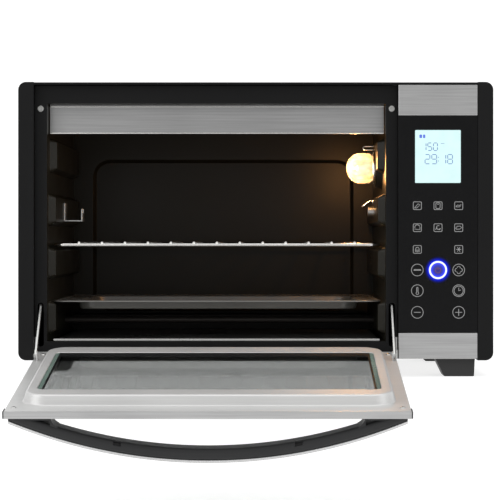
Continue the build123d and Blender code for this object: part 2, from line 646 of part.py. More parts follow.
SPIT_SOCKET_REACH = 7.0
SPIT_SOCKET_BACK = LINER_RIGHT + 2
SPIT_MOTOR_FACE = SPIT_SOCKET_BACK + 1
SPIT_SHAFT_LENGTH = 9.0
with BuildPart() as spit_socket:
    rod(
        (RIB_FACE_RIGHT - SPIT_SOCKET_REACH, SPIT_Y, SPIT_HEIGHT),
        (SPIT_SOCKET_BACK, SPIT_Y, SPIT_HEIGHT),
        SPIT_SOCKET_RADIUS,
    )
    rod(
        (SPIT_SOCKET_BACK, SPIT_Y, SPIT_HEIGHT),
        (SPIT_MOTOR_FACE + SPIT_SHAFT_LENGTH, SPIT_Y, SPIT_HEIGHT),
        SPIT_SHAFT_RADIUS,
    )
    with BuildSketch(Plane.YZ.offset(RIB_FACE_RIGHT - SPIT_SOCKET_REACH)):
        with Locations((SPIT_Y, SPIT_HEIGHT)):
            Rectangle(6.5, 6.5)
    extrude(amount=12, mode=Mode.SUBTRACT)
finish(spit_socket, "spit_socket")

with BuildPart() as spit_motor:
    block(SPIT_MOTOR_FACE, SPIT_MOTOR_FACE + 26, SPIT_Y - 27, SPIT_Y + 27, SPIT_HEIGHT - 22, SPIT_HEIGHT + 22)
    fillet(spit_motor.edges().filter_by(Axis.X), 6)
    for offset_y in (-22, 22):
        post_y = SPIT_Y + offset_y
        rod((LINER_RIGHT, post_y, SPIT_HEIGHT + 16), (SPIT_MOTOR_FACE, post_y, SPIT_HEIGHT + 16), 3)
    rod(
        (SPIT_MOTOR_FACE, SPIT_Y, SPIT_HEIGHT),
        (SPIT_MOTOR_FACE + SPIT_SHAFT_LENGTH + 1, SPIT_Y, SPIT_HEIGHT),
        SPIT_SHAFT_RADIUS + RUNNING_FIT,
        Mode.SUBTRACT,
    )
finish(spit_motor, "spit_motor")

FAN_HOUSING_RADIUS = FAN_RADIUS + 11
FAN_HUB_RADIUS = 8.0
FAN_FRONT = LINER_RIGHT + 4
FAN_BLADE_WIDTH = 12.0
FAN_BLADES = 8
HOUSING_BACK = LINER_RIGHT + FAN_HOUSING_DEPTH
FAN_MOTOR_FACE = HOUSING_BACK + 5
with BuildPart() as fan_housing:
    rod((LINER_RIGHT, FAN_Y, FAN_HEIGHT), (HOUSING_BACK, FAN_Y, FAN_HEIGHT), FAN_HOUSING_RADIUS)
    rod(
        (LINER_RIGHT, FAN_Y, FAN_HEIGHT),
        (HOUSING_BACK - CAVITY_SHEET, FAN_Y, FAN_HEIGHT),
        FAN_HOUSING_RADIUS - CAVITY_SHEET,
        Mode.SUBTRACT,
    )
    rod(
        (LINER_RIGHT, FAN_Y, FAN_HEIGHT),
        (HOUSING_BACK, FAN_Y, FAN_HEIGHT),
        FAN_SHAFT_RADIUS + 1,
        Mode.SUBTRACT,
    )
finish(fan_housing, "fan_housing")

with BuildPart() as fan_blade:
    hub_back = FAN_FRONT + FAN_BLADE_WIDTH
    disc_front = hub_back - 1.2
    rod((FAN_FRONT, FAN_Y, FAN_HEIGHT), (hub_back, FAN_Y, FAN_HEIGHT), FAN_HUB_RADIUS)
    rod((disc_front, FAN_Y, FAN_HEIGHT), (hub_back, FAN_Y, FAN_HEIGHT), FAN_RADIUS)
    rod((hub_back, FAN_Y, FAN_HEIGHT), (FAN_MOTOR_FACE + 10, FAN_Y, FAN_HEIGHT), FAN_SHAFT_RADIUS)
    with BuildSketch(Plane.YZ.offset(FAN_FRONT)):
        with Locations((FAN_Y, FAN_HEIGHT)):
            with PolarLocations((FAN_RADIUS + FAN_HUB_RADIUS - 2) / 2, FAN_BLADES):
                Rectangle(FAN_RADIUS - FAN_HUB_RADIUS, 1.2)
    extrude(amount=FAN_BLADE_WIDTH)
finish(fan_blade, "fan_blade")

with BuildPart() as fan_motor:
    rod((FAN_MOTOR_FACE, FAN_Y, FAN_HEIGHT), (FAN_MOTOR_FACE + 40, FAN_Y, FAN_HEIGHT), 26)
    with BuildSketch(Plane.YZ.offset(HOUSING_BACK)):
        with Locations((FAN_Y, FAN_HEIGHT)):
            with PolarLocations(20, 3):
                Circle(3)
    extrude(amount=FAN_MOTOR_FACE - HOUSING_BACK)
    rod(
        (FAN_MOTOR_FACE, FAN_Y, FAN_HEIGHT),
        (FAN_MOTOR_FACE + 12, FAN_Y, FAN_HEIGHT),
        FAN_SHAFT_RADIUS + RUNNING_FIT,
        Mode.SUBTRACT,
    )
finish(fan_motor, "fan_motor")

PROBE_RADIUS = 1.6
PROBE_REACH = 13.0
PROBE_Y = -20.0
PROBE_HEIGHT = 203.0
PROBE_TIP_HEIGHT = 196.0
PROBE_WASHER_RADIUS = 4.0
with BuildPart() as temperature_probe:
    washer_z = PROBE_HEIGHT - 1
    probe_tip = (RIB_FACE_RIGHT - PROBE_REACH, PROBE_Y, PROBE_TIP_HEIGHT)
    rod((RIB_FACE_RIGHT, PROBE_Y, PROBE_HEIGHT), probe_tip, PROBE_RADIUS)
    rod((RIB_FACE_RIGHT, PROBE_Y, washer_z), (RIB_FACE_RIGHT - 1, PROBE_Y, washer_z), PROBE_WASHER_RADIUS)
    split(bisect_by=Plane(origin=(RIB_FACE_RIGHT, 0, 0), z_dir=(-1, 0, 0)), keep=Keep.TOP)
finish(temperature_probe, "temperature_probe")

# ---------------------------------------------------------------- shelves
SHELF_LEFT = CAVITY_LEFT + SHELF_SIDE_GAP
SHELF_RIGHT = CAVITY_RIGHT - SHELF_SIDE_GAP
SHELF_FRONT = FRAME_BACK + SHELF_FRONT_INSET

with BuildPart() as wire_rack:
    wire_z = LEDGES[1] + SLIDE_FIT + RACK_WIRE_RADIUS
    frame_plane = Plane.XY.offset(wire_z)
    frame_left = SHELF_LEFT + RACK_WIRE_RADIUS
    frame_right = SHELF_RIGHT - RACK_WIRE_RADIUS
    frame_front = SHELF_FRONT + RACK_WIRE_RADIUS
    frame_back = SHELF_FRONT + RACK_DEPTH - RACK_WIRE_RADIUS
    corners = [
        (frame_left, frame_front),
        (frame_right, frame_front),
        (frame_right, frame_back),
        (frame_left, frame_back),
    ]
    with BuildLine(frame_plane) as frame_wire:
        FilletPolyline(*corners, radius=RACK_CORNER, close=True)
    with BuildSketch(Plane(origin=frame_wire.edges()[0] @ 0, z_dir=frame_wire.edges()[0] % 0)):
        Circle(RACK_WIRE_RADIUS)
    sweep(path=frame_wire.wires()[0])
    bar_z = wire_z + RACK_WIRE_RADIUS + RACK_BAR_RADIUS - 0.6
    first_bar = CAVITY_MID - RACK_BAR_PITCH * (RACK_BARS - 1) / 2
    for bar in range(RACK_BARS):
        x = first_bar + bar * RACK_BAR_PITCH
        rod((x, SHELF_FRONT + 0.5, bar_z), (x, SHELF_FRONT + RACK_DEPTH - 0.5, bar_z), RACK_BAR_RADIUS)
    for stay_y in RACK_STAYS_Y:
        rod((frame_left, stay_y, wire_z), (frame_right, stay_y, wire_z), RACK_WIRE_RADIUS)
finish(wire_rack, "wire_rack")

with BuildPart() as baking_tray:
    rim_under = LEDGES[0] + SLIDE_FIT
    tray_mid_y = SHELF_FRONT + TRAY_DEPTH / 2
    tray_width = SHELF_RIGHT - SHELF_LEFT
    well_width = tray_width - 2 * TRAY_FLANGE
    well_depth = TRAY_DEPTH - TRAY_FLANGE
    block(
        SHELF_LEFT,
        SHELF_RIGHT,
        SHELF_FRONT,
        SHELF_FRONT + TRAY_DEPTH,
        rim_under,
        rim_under + TRAY_SHEET,
    )
    fillet(baking_tray.edges().filter_by(Axis.Z), TRAY_CORNER)
    for shrink, floor, mode in ((0, 0, Mode.ADD), (TRAY_SHEET, TRAY_SHEET, Mode.SUBTRACT)):
        with BuildSketch(Plane.XY.offset(rim_under + TRAY_SHEET)):
            with Locations((CAVITY_MID, tray_mid_y)):
                RectangleRounded(well_width - 2 * shrink, well_depth - 2 * shrink, TRAY_CORNER - shrink)
        extrude(amount=-(TRAY_BODY_DROP - floor), taper=RIB_TAPER / 2, mode=mode)
finish(baking_tray, "baking_tray")

with BuildPart() as crumb_tray:
    crumb_left = CAVITY_LEFT + CRUMB_SIDE_GAP
    crumb_right = CAVITY_RIGHT - CRUMB_SIDE_GAP
    crumb_front = FRAME_BACK + CRUMB_FRONT_INSET
    crumb_under = CAVITY_BOTTOM + CRUMB_FIT
    lip_z = crumb_under + CRUMB_LIP_RADIUS
    block(crumb_left, crumb_right, crumb_front, CAVITY_REAR - 6, crumb_under, crumb_under + CRUMB_SHEET)
    rod((crumb_left, crumb_front, lip_z), (crumb_right, crumb_front, lip_z), CRUMB_LIP_RADIUS)
finish(crumb_tray, "crumb_tray")

# ---------------------------------------------------------------- controls
HOUSING_FACE = PANEL_FACE + HOUSING_WALL
TOUCH_LOW = FRAME_LOW + PLATE_BOTTOM_HEIGHT + PLATE_EDGE_GAP
TOUCH_HIGH = FRAME_TOP - PLATE_TOP_HEIGHT - PLATE_EDGE_GAP
LCD_LEFT = PANEL_MID - LCD_WIDTH / 2
LCD_RIGHT = PANEL_MID + LCD_WIDTH / 2
LCD_HIGH_EDGE = LCD_LOW_EDGE + LCD_HEIGHT
BOARD_THICKNESS = 1.6
BOARD_FACE = HOUSING_FACE + LCD_BEHIND


def key_and_lcd_windows(from_y, to_y):
    """Cuts the display's window and the power key's hole through the piece being built."""
    block(LCD_LEFT - FIT, LCD_RIGHT + FIT, from_y, to_y, LCD_LOW_EDGE - FIT, LCD_HIGH_EDGE + FIT, Mode.SUBTRACT)
    rod(
        (PANEL_MID, from_y, POWER_KEY_HEIGHT),
        (PANEL_MID, to_y, POWER_KEY_HEIGHT),
        POWER_KEY_RADIUS + FIT,
        Mode.SUBTRACT,
    )


with BuildPart() as control_housing:
    housing_back = PANEL_FACE + HOUSING_DEPTH
    block(PANEL_LEFT, PANEL_RIGHT, PANEL_FACE, housing_back, FRAME_LOW, FRAME_TOP)
    block(
        PANEL_LEFT + HOUSING_WALL,
        PANEL_RIGHT - HOUSING_WALL,
        HOUSING_FACE,
        housing_back,
        FRAME_LOW + HOUSING_WALL,
        FRAME_TOP - HOUSING_WALL,
        Mode.SUBTRACT,
    )
    key_and_lcd_windows(PANEL_FACE, HOUSING_FACE)
    for post_x in (PANEL_LEFT + 12, PANEL_RIGHT - 12):
        for post_z in (TOUCH_LOW + 14, TOUCH_HIGH - 6):
            rod((post_x, HOUSING_FACE, post_z), (post_x, BOARD_FACE, post_z), 3)
finish(control_housing, "control_housing")

with BuildPart() as control_plate_top:
    plate_right = PANEL_RIGHT - FIT
    plate_left = PANEL_LEFT + FIT
    block(plate_left, plate_right, FRONT, PANEL_FACE, FRAME_TOP - PLATE_TOP_HEIGHT, FRAME_TOP)
    chamfer(control_plate_top.faces().sort_by(Axis.Y)[0].edges(), 0.5)
finish(control_plate_top, "control_plate_top")

with BuildPart() as control_plate_bottom:
    block(plate_left, plate_right, FRONT, PANEL_FACE, FRAME_LOW, FRAME_LOW + PLATE_BOTTOM_HEIGHT)
    chamfer(control_plate_bottom.faces().sort_by(Axis.Y)[0].edges(), 0.5)
finish(control_plate_bottom, "control_plate_bottom")

with BuildPart() as touch_panel:
    block(plate_left, plate_right, FRONT, PANEL_FACE, TOUCH_LOW, TOUCH_HIGH)
    key_and_lcd_windows(FRONT, PANEL_FACE)
finish(touch_panel, "touch_panel")

with BuildPart() as lcd_display:
    block(LCD_LEFT, LCD_RIGHT, FRONT + 0.3, BOARD_FACE, LCD_LOW_EDGE, LCD_HIGH_EDGE)
finish(lcd_display, "lcd_display")

with BuildPart() as power_key_light:
    rod(
        (PANEL_MID, FRONT + 0.1, POWER_KEY_HEIGHT),
        (PANEL_MID, BOARD_FACE, POWER_KEY_HEIGHT),
        POWER_KEY_RADIUS,
    )
finish(power_key_light, "power_key_light")

CHIP_HEIGHTS = (90.0, 150.0, 200.0)
CHIP_HALF_WIDTH = 9.0
CHIP_HALF_HEIGHT = 6.0
PLUG_HALF_WIDTH = 20.0
PLUG_DEPTH = 8.0
PLUG_LOW = 255.0
with BuildPart() as control_board:
    board_back = BOARD_FACE + BOARD_THICKNESS
    block(PANEL_LEFT + 6, PANEL_RIGHT - 6, BOARD_FACE, board_back, TOUCH_LOW + 6, TOUCH_HIGH - 1)
    for chip_z in CHIP_HEIGHTS:
        chip_left, chip_right = PANEL_MID - CHIP_HALF_WIDTH, PANEL_MID + CHIP_HALF_WIDTH
        chip_low, chip_high = chip_z - CHIP_HALF_HEIGHT, chip_z + CHIP_HALF_HEIGHT
        block(chip_left, chip_right, board_back, board_back + 2.5, chip_low, chip_high)
    plug_left, plug_right = PANEL_MID - PLUG_HALF_WIDTH, PANEL_MID + PLUG_HALF_WIDTH
    block(plug_left, plug_right, board_back, board_back + PLUG_DEPTH, PLUG_LOW, PLUG_LOW + 2 * CHIP_HALF_HEIGHT)
finish(control_board, "control_board")

POWER_BOARD_Z = BASE_TOP + 9
POWER_BOARD_FRONT = -110.0
POWER_BOARD_BACK = -20.0
STAND_RADIUS = 3.0
STAND_INSET = 6.0
TRANSFORMER_HEIGHT = 26.0
RELAYS = 3
RELAY_WIDTH = 11.0
RELAY_PITCH = 14.0
RELAY_HEIGHT = 15.0
CAPACITOR_RADIUS = 8.0
CAPACITOR_HEIGHT = 22.0
with BuildPart() as power_board:
    board_left, board_right = PANEL_LEFT + 8, RIGHT - 14
    component_z = POWER_BOARD_Z + BOARD_THICKNESS
    block(board_left, board_right, POWER_BOARD_FRONT, POWER_BOARD_BACK, POWER_BOARD_Z, component_z)
    for stand_x in (board_left + STAND_INSET, board_right - STAND_INSET):
        for stand_y in (POWER_BOARD_FRONT + STAND_INSET, POWER_BOARD_BACK - STAND_INSET):
            rod((stand_x, stand_y, BASE_TOP), (stand_x, stand_y, POWER_BOARD_Z), STAND_RADIUS)
    transformer_left = board_left + STAND_INSET
    transformer_front = POWER_BOARD_FRONT + 40
    block(
        transformer_left,
        transformer_left + 36,
        transformer_front,
        transformer_front + 34,
        component_z,
        component_z + TRANSFORMER_HEIGHT,
    )
    relay_front = POWER_BOARD_FRONT + 10
    for relay in range(RELAYS):
        relay_x = board_left + 48 + RELAY_PITCH * relay
        relay_top = component_z + RELAY_HEIGHT
        block(relay_x, relay_x + RELAY_WIDTH, relay_front, relay_front + 18, component_z, relay_top)
    capacitor = (board_right - 18, POWER_BOARD_BACK - 30)
    rod((*capacitor, component_z), (*capacitor, component_z + CAPACITOR_HEIGHT), CAPACITOR_RADIUS)
finish(power_board, "power_board")

TERMINAL_BLOCK_HALF = 17.0
TERMINAL_BLOCK_DEPTH = 16.0
TERMINAL_BLOCK_RISE = 22.0
TERMINAL_BLOCK_HEIGHT = 16.0
TERMINAL_SCREWS = 3
TERMINAL_PITCH = 11.0
TERMINAL_SCREW_RADIUS = 3.0
with BuildPart() as terminal_block:
    terminal_low = GLAND_HEIGHT + TERMINAL_BLOCK_RISE
    terminal_front = BACK_INSIDE - TERMINAL_BLOCK_DEPTH
    block(
        GLAND_X - TERMINAL_BLOCK_HALF,
        GLAND_X + TERMINAL_BLOCK_HALF,
        terminal_front,
        BACK_INSIDE,
        terminal_low,
        terminal_low + TERMINAL_BLOCK_HEIGHT,
    )
    screw_z = terminal_low + TERMINAL_BLOCK_HEIGHT / 2
    for screw in range(TERMINAL_SCREWS):
        screw_x = GLAND_X + TERMINAL_PITCH * (screw - 1)
        rod((screw_x, terminal_front - 2, screw_z), (screw_x, terminal_front, screw_z), TERMINAL_SCREW_RADIUS)
finish(terminal_block, "terminal_block")

# ---------------------------------------------------------------- door
# Everything here is drawn in the door's own plane.
TOE = DOOR_LENGTH
HEEL = -DOOR_HEEL
LUG_THICKNESS = 1.2
SCREW_INSET = 8.0
DOOR_SCREW_RADIUS = 1.5
door_screw_places = [
    (x, length)
    for x in (DOOR_LEFT + SCREW_INSET, DOOR_RIGHT - SCREW_INSET)
    for length in (PAN_HEEL - SCREW_INSET, TOE - 2 * SCREW_INSET)
]


def door_sketch_box(low, high, heel, toe, corner):
    """A rounded rectangle in the sketch of a door piece, from its sides and ends."""
    with Locations(((low + high) / 2, (heel + toe) / 2)):
        RectangleRounded(high - low, toe - heel, corner)


with BuildPart(DOOR) as door_inner_panel:
    skin_back = DOOR_INNER + DOOR_SHEET
    block(DOOR_LEFT, DOOR_RIGHT, HEEL, TOE, DOOR_INNER, DOOR_OUTER)
    block(
        DOOR_LEFT + DOOR_SHEET,
        DOOR_RIGHT - DOOR_SHEET,
        HEEL + DOOR_SHEET,
        TOE - DOOR_SHEET,
        skin_back,
        DOOR_OUTER,
        Mode.SUBTRACT,
    )
    for start, mode in ((DOOR_INNER, Mode.ADD), (skin_back, Mode.SUBTRACT)):
        with BuildSketch(DOOR.offset(start)):
            door_sketch_box(PAN_LEFT, PAN_RIGHT, PAN_HEEL, PAN_TOE, PAN_CORNER)
        extrude(amount=-PAN_RISE, taper=PAN_TAPER, mode=mode)
    with BuildSketch(DOOR.offset(DOOR_INNER - PAN_RISE)):
        door_sketch_box(WINDOW_LEFT, WINDOW_RIGHT, WINDOW_HEEL, WINDOW_TOE, WINDOW_CORNER)
    extrude(amount=DOOR_SHEET, mode=Mode.SUBTRACT)
    with BuildSketch(DOOR.offset(DOOR_INNER)):
        with Locations(*door_screw_places):
            Circle(DOOR_SCREW_RADIUS)
    extrude(amount=DOOR_SHEET, mode=Mode.SUBTRACT)
    for lug_x in (LINK_LEFT_X, LINK_RIGHT_X):
        side = 1 if lug_x < DOOR_MID else -1
        lug_near = lug_x + side * (LINK_THICKNESS / 2 + FIT)
        lug_low, lug_high = sorted((lug_near, lug_near + side * LUG_THICKNESS))
        lug_end = LINK_PIVOT_OUT - 4
        block(lug_low, lug_high, LINK_PIVOT_LENGTH - 5, LINK_PIVOT_LENGTH + 5, lug_end, DOOR_INNER)
        with Locations((lug_x, LINK_PIVOT_LENGTH, LINK_PIVOT_OUT)):
            Cylinder(LINK_PIN_RADIUS, LINK_SLOT_WIDTH, rotation=(0, 90, 0), mode=Mode.SUBTRACT)
    for edge_x in (DOOR_LEFT, DOOR_RIGHT):
        with Locations((edge_x, 0, 0)):
            Cylinder(HINGE_PIN_RADIUS, 4 * DOOR_SHEET, rotation=(0, 90, 0), mode=Mode.SUBTRACT)
finish(door_inner_panel, "door_inner_panel")

with BuildPart(DOOR) as inner_glass:
    glass_face = DOOR_INNER - PAN_RISE + DOOR_SHEET
    with BuildSketch(DOOR.offset(glass_face)):
        door_sketch_box(
            WINDOW_LEFT - GLASS_LAP,
            WINDOW_RIGHT + GLASS_LAP,
            WINDOW_HEEL - GLASS_LAP,
            WINDOW_TOE + GLASS_LAP,
            WINDOW_CORNER,
        )
    extrude(amount=GLASS_THICKNESS)
finish(inner_glass, "inner_glass")

with BuildPart(DOOR) as outer_glass:
    block(
        DOOR_LEFT + DOOR_SHEET + FIT,
        DOOR_RIGHT - DOOR_SHEET - FIT,
        TRIM_HEEL_WIDTH - DOOR_HEEL + FIT,
        TOE - TRIM_TOE_WIDTH - FIT,
        TRIM_FACE - GLASS_THICKNESS,
        TRIM_FACE,
    )
finish(outer_glass, "outer_glass")

handle_foot_x = HANDLE_LENGTH / 2 - HANDLE_FOOT / 2
HANDLE_TOE = TOE - HANDLE_TOE_GAP
HANDLE_HEEL = HANDLE_TOE - HANDLE_WIDTH
HANDLE_SCREW_RADIUS = 2.0
handle_screw_places = [
    (DOOR_MID + side * handle_foot_x, (HANDLE_HEEL + HANDLE_TOE) / 2) for side in (-1, 1)
]

with BuildPart(DOOR) as door_trim_top:
    block(DOOR_LEFT, DOOR_RIGHT, TOE - TRIM_TOE_WIDTH, TOE + DOOR_SHEET, DOOR_OUTER, TRIM_FACE)
    block(DOOR_LEFT, DOOR_RIGHT, TOE, TOE + DOOR_SHEET, DOOR_INNER, DOOR_OUTER)
    with BuildSketch(DOOR.offset(DOOR_OUTER)):
        with Locations(*handle_screw_places):
            Circle(HANDLE_SCREW_RADIUS + FIT)
    extrude(amount=DOOR_SHEET, mode=Mode.SUBTRACT)
finish(door_trim_top, "door_trim_top")

with BuildPart(DOOR) as door_trim_bottom:
    block(DOOR_LEFT, DOOR_RIGHT, HEEL, HEEL + TRIM_HEEL_WIDTH, DOOR_OUTER, TRIM_FACE)
finish(door_trim_bottom, "door_trim_bottom")

END_CAP_THICKNESS = 1.3
with BuildPart(DOOR) as door_end_caps:
    for cap_low in (DOOR_LEFT - END_CAP_THICKNESS, DOOR_RIGHT):
        block(cap_low, cap_low + END_CAP_THICKNESS, TOE - 14, TOE + DOOR_SHEET, DOOR_INNER, TRIM_FACE)
finish(door_end_caps, "door_end_caps")

with BuildPart(DOOR) as door_screws:
    for x, length in door_screw_places:
        with Locations((x, length, DOOR_INNER - 0.6)):
            Cylinder(2 * DOOR_SCREW_RADIUS, 1.2)
        with Locations((x, length, DOOR_INNER + 1.5)):
            Cylinder(DOOR_SCREW_RADIUS, 3)
finish(door_screws, "door_screws")

# The handle is a bow. It is drawn across the door, with its plane's y out of the door, and is
# extruded from its toe side towards the hinge.
handle_plane = Plane(
    origin=DOOR.from_local_coords((DOOR_MID, HANDLE_TOE, 0)), x_dir=(1, 0, 0), z_dir=-DOOR.y_dir
)
HANDLE_CROWN = TRIM_FACE + HANDLE_PROJECTION
STRIP_FLOOR = HANDLE_CROWN - HANDLE_STRIP
GRIP_FLOOR = STRIP_FLOOR - HANDLE_GRIP
GAP_HALF = HANDLE_LENGTH / 2 - HANDLE_FOOT
STRIP_INSET = 2.0


def bow_height(crown, x):
    """The height of the handle's arc over the hinge axis, x from the middle, where its crown is known."""
    return crown - (HANDLE_ARC_RADIUS - sqrt(HANDLE_ARC_RADIUS**2 - x**2))


def bow_area(crown, half_length, plane):
    """The area between one of the handle's arcs and the door's trim."""
    shoulder = bow_height(crown, half_length)
    with BuildSketch(plane) as area:
        with BuildLine():
            ThreePointArc((-half_length, shoulder), (0, crown), (half_length, shoulder))
            Polyline(
                (half_length, shoulder),
                (half_length, TRIM_FACE),
                (-half_length, TRIM_FACE),
                (-half_length, shoulder),
            )
        make_face()
    return area.sketch


with BuildPart() as handle_grip:
    extrude(bow_area(STRIP_FLOOR, HANDLE_LENGTH / 2, handle_plane), amount=HANDLE_WIDTH)
    extrude(bow_area(GRIP_FLOOR, GAP_HALF, handle_plane), amount=HANDLE_WIDTH, mode=Mode.SUBTRACT)
    with BuildSketch(DOOR.offset(TRIM_FACE)):
        with Locations(*handle_screw_places):
            Circle(HANDLE_SCREW_RADIUS)
    extrude(amount=8, mode=Mode.SUBTRACT)
finish(handle_grip, "handle_grip")

with BuildPart() as handle_strip:
    strip_plane = handle_plane.offset(STRIP_INSET)
    strip_width = HANDLE_WIDTH - 2 * STRIP_INSET
    extrude(bow_area(HANDLE_CROWN, HANDLE_LENGTH / 2, strip_plane), amount=strip_width)
    extrude(bow_area(STRIP_FLOOR, HANDLE_LENGTH / 2, strip_plane), amount=strip_width, mode=Mode.SUBTRACT)
finish(handle_strip, "handle_strip")

with BuildPart(DOOR) as handle_screws:
    for x, length in handle_screw_places:
        with Locations((x, length, DOOR_OUTER - 1)):
            Cylinder(2 * HANDLE_SCREW_RADIUS, 2)
        with Locations((x, length, DOOR_OUTER + 4)):
            Cylinder(HANDLE_SCREW_RADIUS, 8)
finish(handle_screws, "handle_screws")

# ---------------------------------------------------------------- hinge gear
EAR_THICKNESS = 2.0
EAR_GAP = 0.5
EAR_DROP = 3.5
EAR_RISE = 6.0
EAR_NOSE = 4.0
EAR_TAB_RISE = 20.0
ear_lows = (BEZEL_LEFT + EAR_GAP, PANEL_LEFT - EAR_GAP - EAR_THICKNESS)

with BuildPart() as hinge_brackets:
    for ear_low in ear_lows:
        ear_high = ear_low + EAR_THICKNESS
        ear_bottom = HINGE_Z - EAR_DROP
        block(ear_low, ear_high, HINGE_Y - EAR_NOSE, FRAME_FRONT, ear_bottom, HINGE_Z + EAR_RISE)
        block(ear_low, ear_high, FRAME_FRONT - 1, FRAME_FRONT, ear_bottom, HINGE_Z + EAR_TAB_RISE)
        rod(
            (ear_low, HINGE_Y, HINGE_Z),
            (ear_high, HINGE_Y, HINGE_Z),
            HINGE_PIN_RADIUS + RUNNING_FIT,
            Mode.SUBTRACT,
        )
finish(hinge_brackets, "hinge_brackets")

HINGE_PIN_INSIDE = 8.0
with BuildPart() as hinge_pins:
    rod((ear_lows[0], HINGE_Y, HINGE_Z), (DOOR_LEFT + HINGE_PIN_INSIDE, HINGE_Y, HINGE_Z), HINGE_PIN_RADIUS)
    pin_end = ear_lows[1] + EAR_THICKNESS
    rod((DOOR_RIGHT - HINGE_PIN_INSIDE, HINGE_Y, HINGE_Z), (pin_end, HINGE_Y, HINGE_Z), HINGE_PIN_RADIUS)
finish(hinge_pins, "hinge_pins")

LINK_HEAD = 0.8
link_pivot = DOOR.from_local_coords((0, LINK_PIVOT_LENGTH, LINK_PIVOT_OUT))
link_direction = Vector(0, cos(radians(LINK_SLOPE)), sin(radians(LINK_SLOPE)))

with BuildPart() as link_pins:
    for link_x in (LINK_LEFT_X, LINK_RIGHT_X):
        side = 1 if link_x < DOOR_MID else -1
        outside = link_x - side * (LINK_THICKNESS / 2 + FIT)
        lug_far = link_x + side * (LINK_THICKNESS / 2 + FIT + LUG_THICKNESS)
        head_end = outside - side * LINK_HEAD
        rod((outside, link_pivot.Y, link_pivot.Z), (lug_far, link_pivot.Y, link_pivot.Z), LINK_PIN_RADIUS)
        head_radius = 1.7 * LINK_PIN_RADIUS
        rod((outside, link_pivot.Y, link_pivot.Z), (head_end, link_pivot.Y, link_pivot.Z), head_radius)
finish(link_pins, "link_pins")

for name, link_x in (("hinge_link_left", LINK_LEFT_X), ("hinge_link_right", LINK_RIGHT_X)):
    with BuildPart() as hinge_link:
        link_side = Plane(
            origin=(link_x - LINK_THICKNESS / 2, link_pivot.Y, link_pivot.Z),
            x_dir=link_direction,
            z_dir=(1, 0, 0),
        )
        with BuildSketch(link_side):
            with Locations((LINK_REACH / 2, 0)):
                SlotOverall(LINK_REACH + LINK_HEIGHT, LINK_HEIGHT)
            Circle(LINK_PIN_RADIUS + RUNNING_FIT, mode=Mode.SUBTRACT)
            with Locations((LINK_REACH, 0)):
                Circle(LINK_PIN_RADIUS, mode=Mode.SUBTRACT)
        extrude(amount=LINK_THICKNESS)
    finish(hinge_link, name)

SPRING_WIRE_RADIUS = 0.8
SPRING_COIL_RADIUS = 3.2
SPRING_HOOK = 14.0
SPRING_ANCHOR_Y = 60.0
SPRING_ANCHOR_RISE = 22.0
SPRING_LINK_GAP = 0.3

# Each coil is drawn as its closed outer shape.
with BuildPart() as door_springs:
    for link_x in (LINK_LEFT_X, LINK_RIGHT_X):
        link_eye = Vector(link_x, link_pivot.Y, link_pivot.Z) + LINK_REACH * link_direction
        anchor = Vector(link_x, SPRING_ANCHOR_Y, CAVITY_BOTTOM + SPRING_ANCHOR_RISE)
        along = (anchor - link_eye).normalized()
        link_end = link_eye + (LINK_HEIGHT / 2 + SPRING_LINK_GAP) * along
        coil_start = link_end + SPRING_HOOK * along
        coil_end = anchor - SPRING_HOOK * along
        rod(link_end, anchor, SPRING_WIRE_RADIUS)
        rod(coil_start, coil_end, SPRING_COIL_RADIUS)
finish(door_springs, "door_springs")
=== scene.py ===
import json
import math

import bmesh
import bpy
from bpy.props import FloatProperty, FloatVectorProperty, IntProperty, PointerProperty
from mathutils import Matrix, Vector

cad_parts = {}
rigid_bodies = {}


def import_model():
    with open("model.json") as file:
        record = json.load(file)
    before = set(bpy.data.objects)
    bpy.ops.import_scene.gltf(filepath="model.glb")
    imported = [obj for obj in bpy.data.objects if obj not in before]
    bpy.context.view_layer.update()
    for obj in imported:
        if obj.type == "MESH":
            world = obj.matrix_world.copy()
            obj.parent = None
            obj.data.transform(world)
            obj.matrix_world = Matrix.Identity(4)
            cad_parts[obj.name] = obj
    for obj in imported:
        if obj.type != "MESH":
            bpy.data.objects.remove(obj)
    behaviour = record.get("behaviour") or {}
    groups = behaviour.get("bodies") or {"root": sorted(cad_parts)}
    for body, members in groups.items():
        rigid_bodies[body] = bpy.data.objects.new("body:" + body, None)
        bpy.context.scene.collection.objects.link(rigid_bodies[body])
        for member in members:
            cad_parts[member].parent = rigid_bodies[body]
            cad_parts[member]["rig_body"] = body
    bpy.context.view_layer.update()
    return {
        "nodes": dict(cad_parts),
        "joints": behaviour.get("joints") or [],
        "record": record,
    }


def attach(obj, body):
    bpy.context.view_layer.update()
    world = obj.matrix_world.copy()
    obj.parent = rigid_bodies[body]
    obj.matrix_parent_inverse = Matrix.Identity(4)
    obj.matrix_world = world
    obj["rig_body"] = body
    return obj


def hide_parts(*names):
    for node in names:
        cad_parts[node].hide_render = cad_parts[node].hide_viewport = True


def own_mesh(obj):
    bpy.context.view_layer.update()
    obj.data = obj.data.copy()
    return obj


bl_info = {
    "name": "Toaster oven",
    "version": (1, 0, 0),
    "blender": (4, 5, 0),
    "location": "3D View > Sidebar > Oven",
    "description": "Builds a toaster oven with its glass door open around the CAD frame",
    "category": "Object",
}

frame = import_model()
NODES = frame["nodes"]
SUBPARTS = {part["node"]: part for part in frame["record"]["subparts"]}
HINGE = {joint["name"]: joint for joint in frame["joints"]}["door_hinge"]

# Pieces are modelled in millimetres: ROW takes them to the frame, DOOR takes a point given across
# the door, along it from the hinge, and out of its outer face.
ROW = Matrix.Scale(0.001, 4)
DOOR_DROP = math.radians(-HINGE["range_deg"][0] - 90)
DOOR = Matrix.Translation(HINGE["pos_m"]) @ Matrix.Rotation(math.pi + DOOR_DROP, 4, "X") @ ROW


def box_of(points):
    """The lowest and highest corners of some points."""
    return tuple(Vector([pick(along) for along in zip(*points)]) for pick in (min, max))


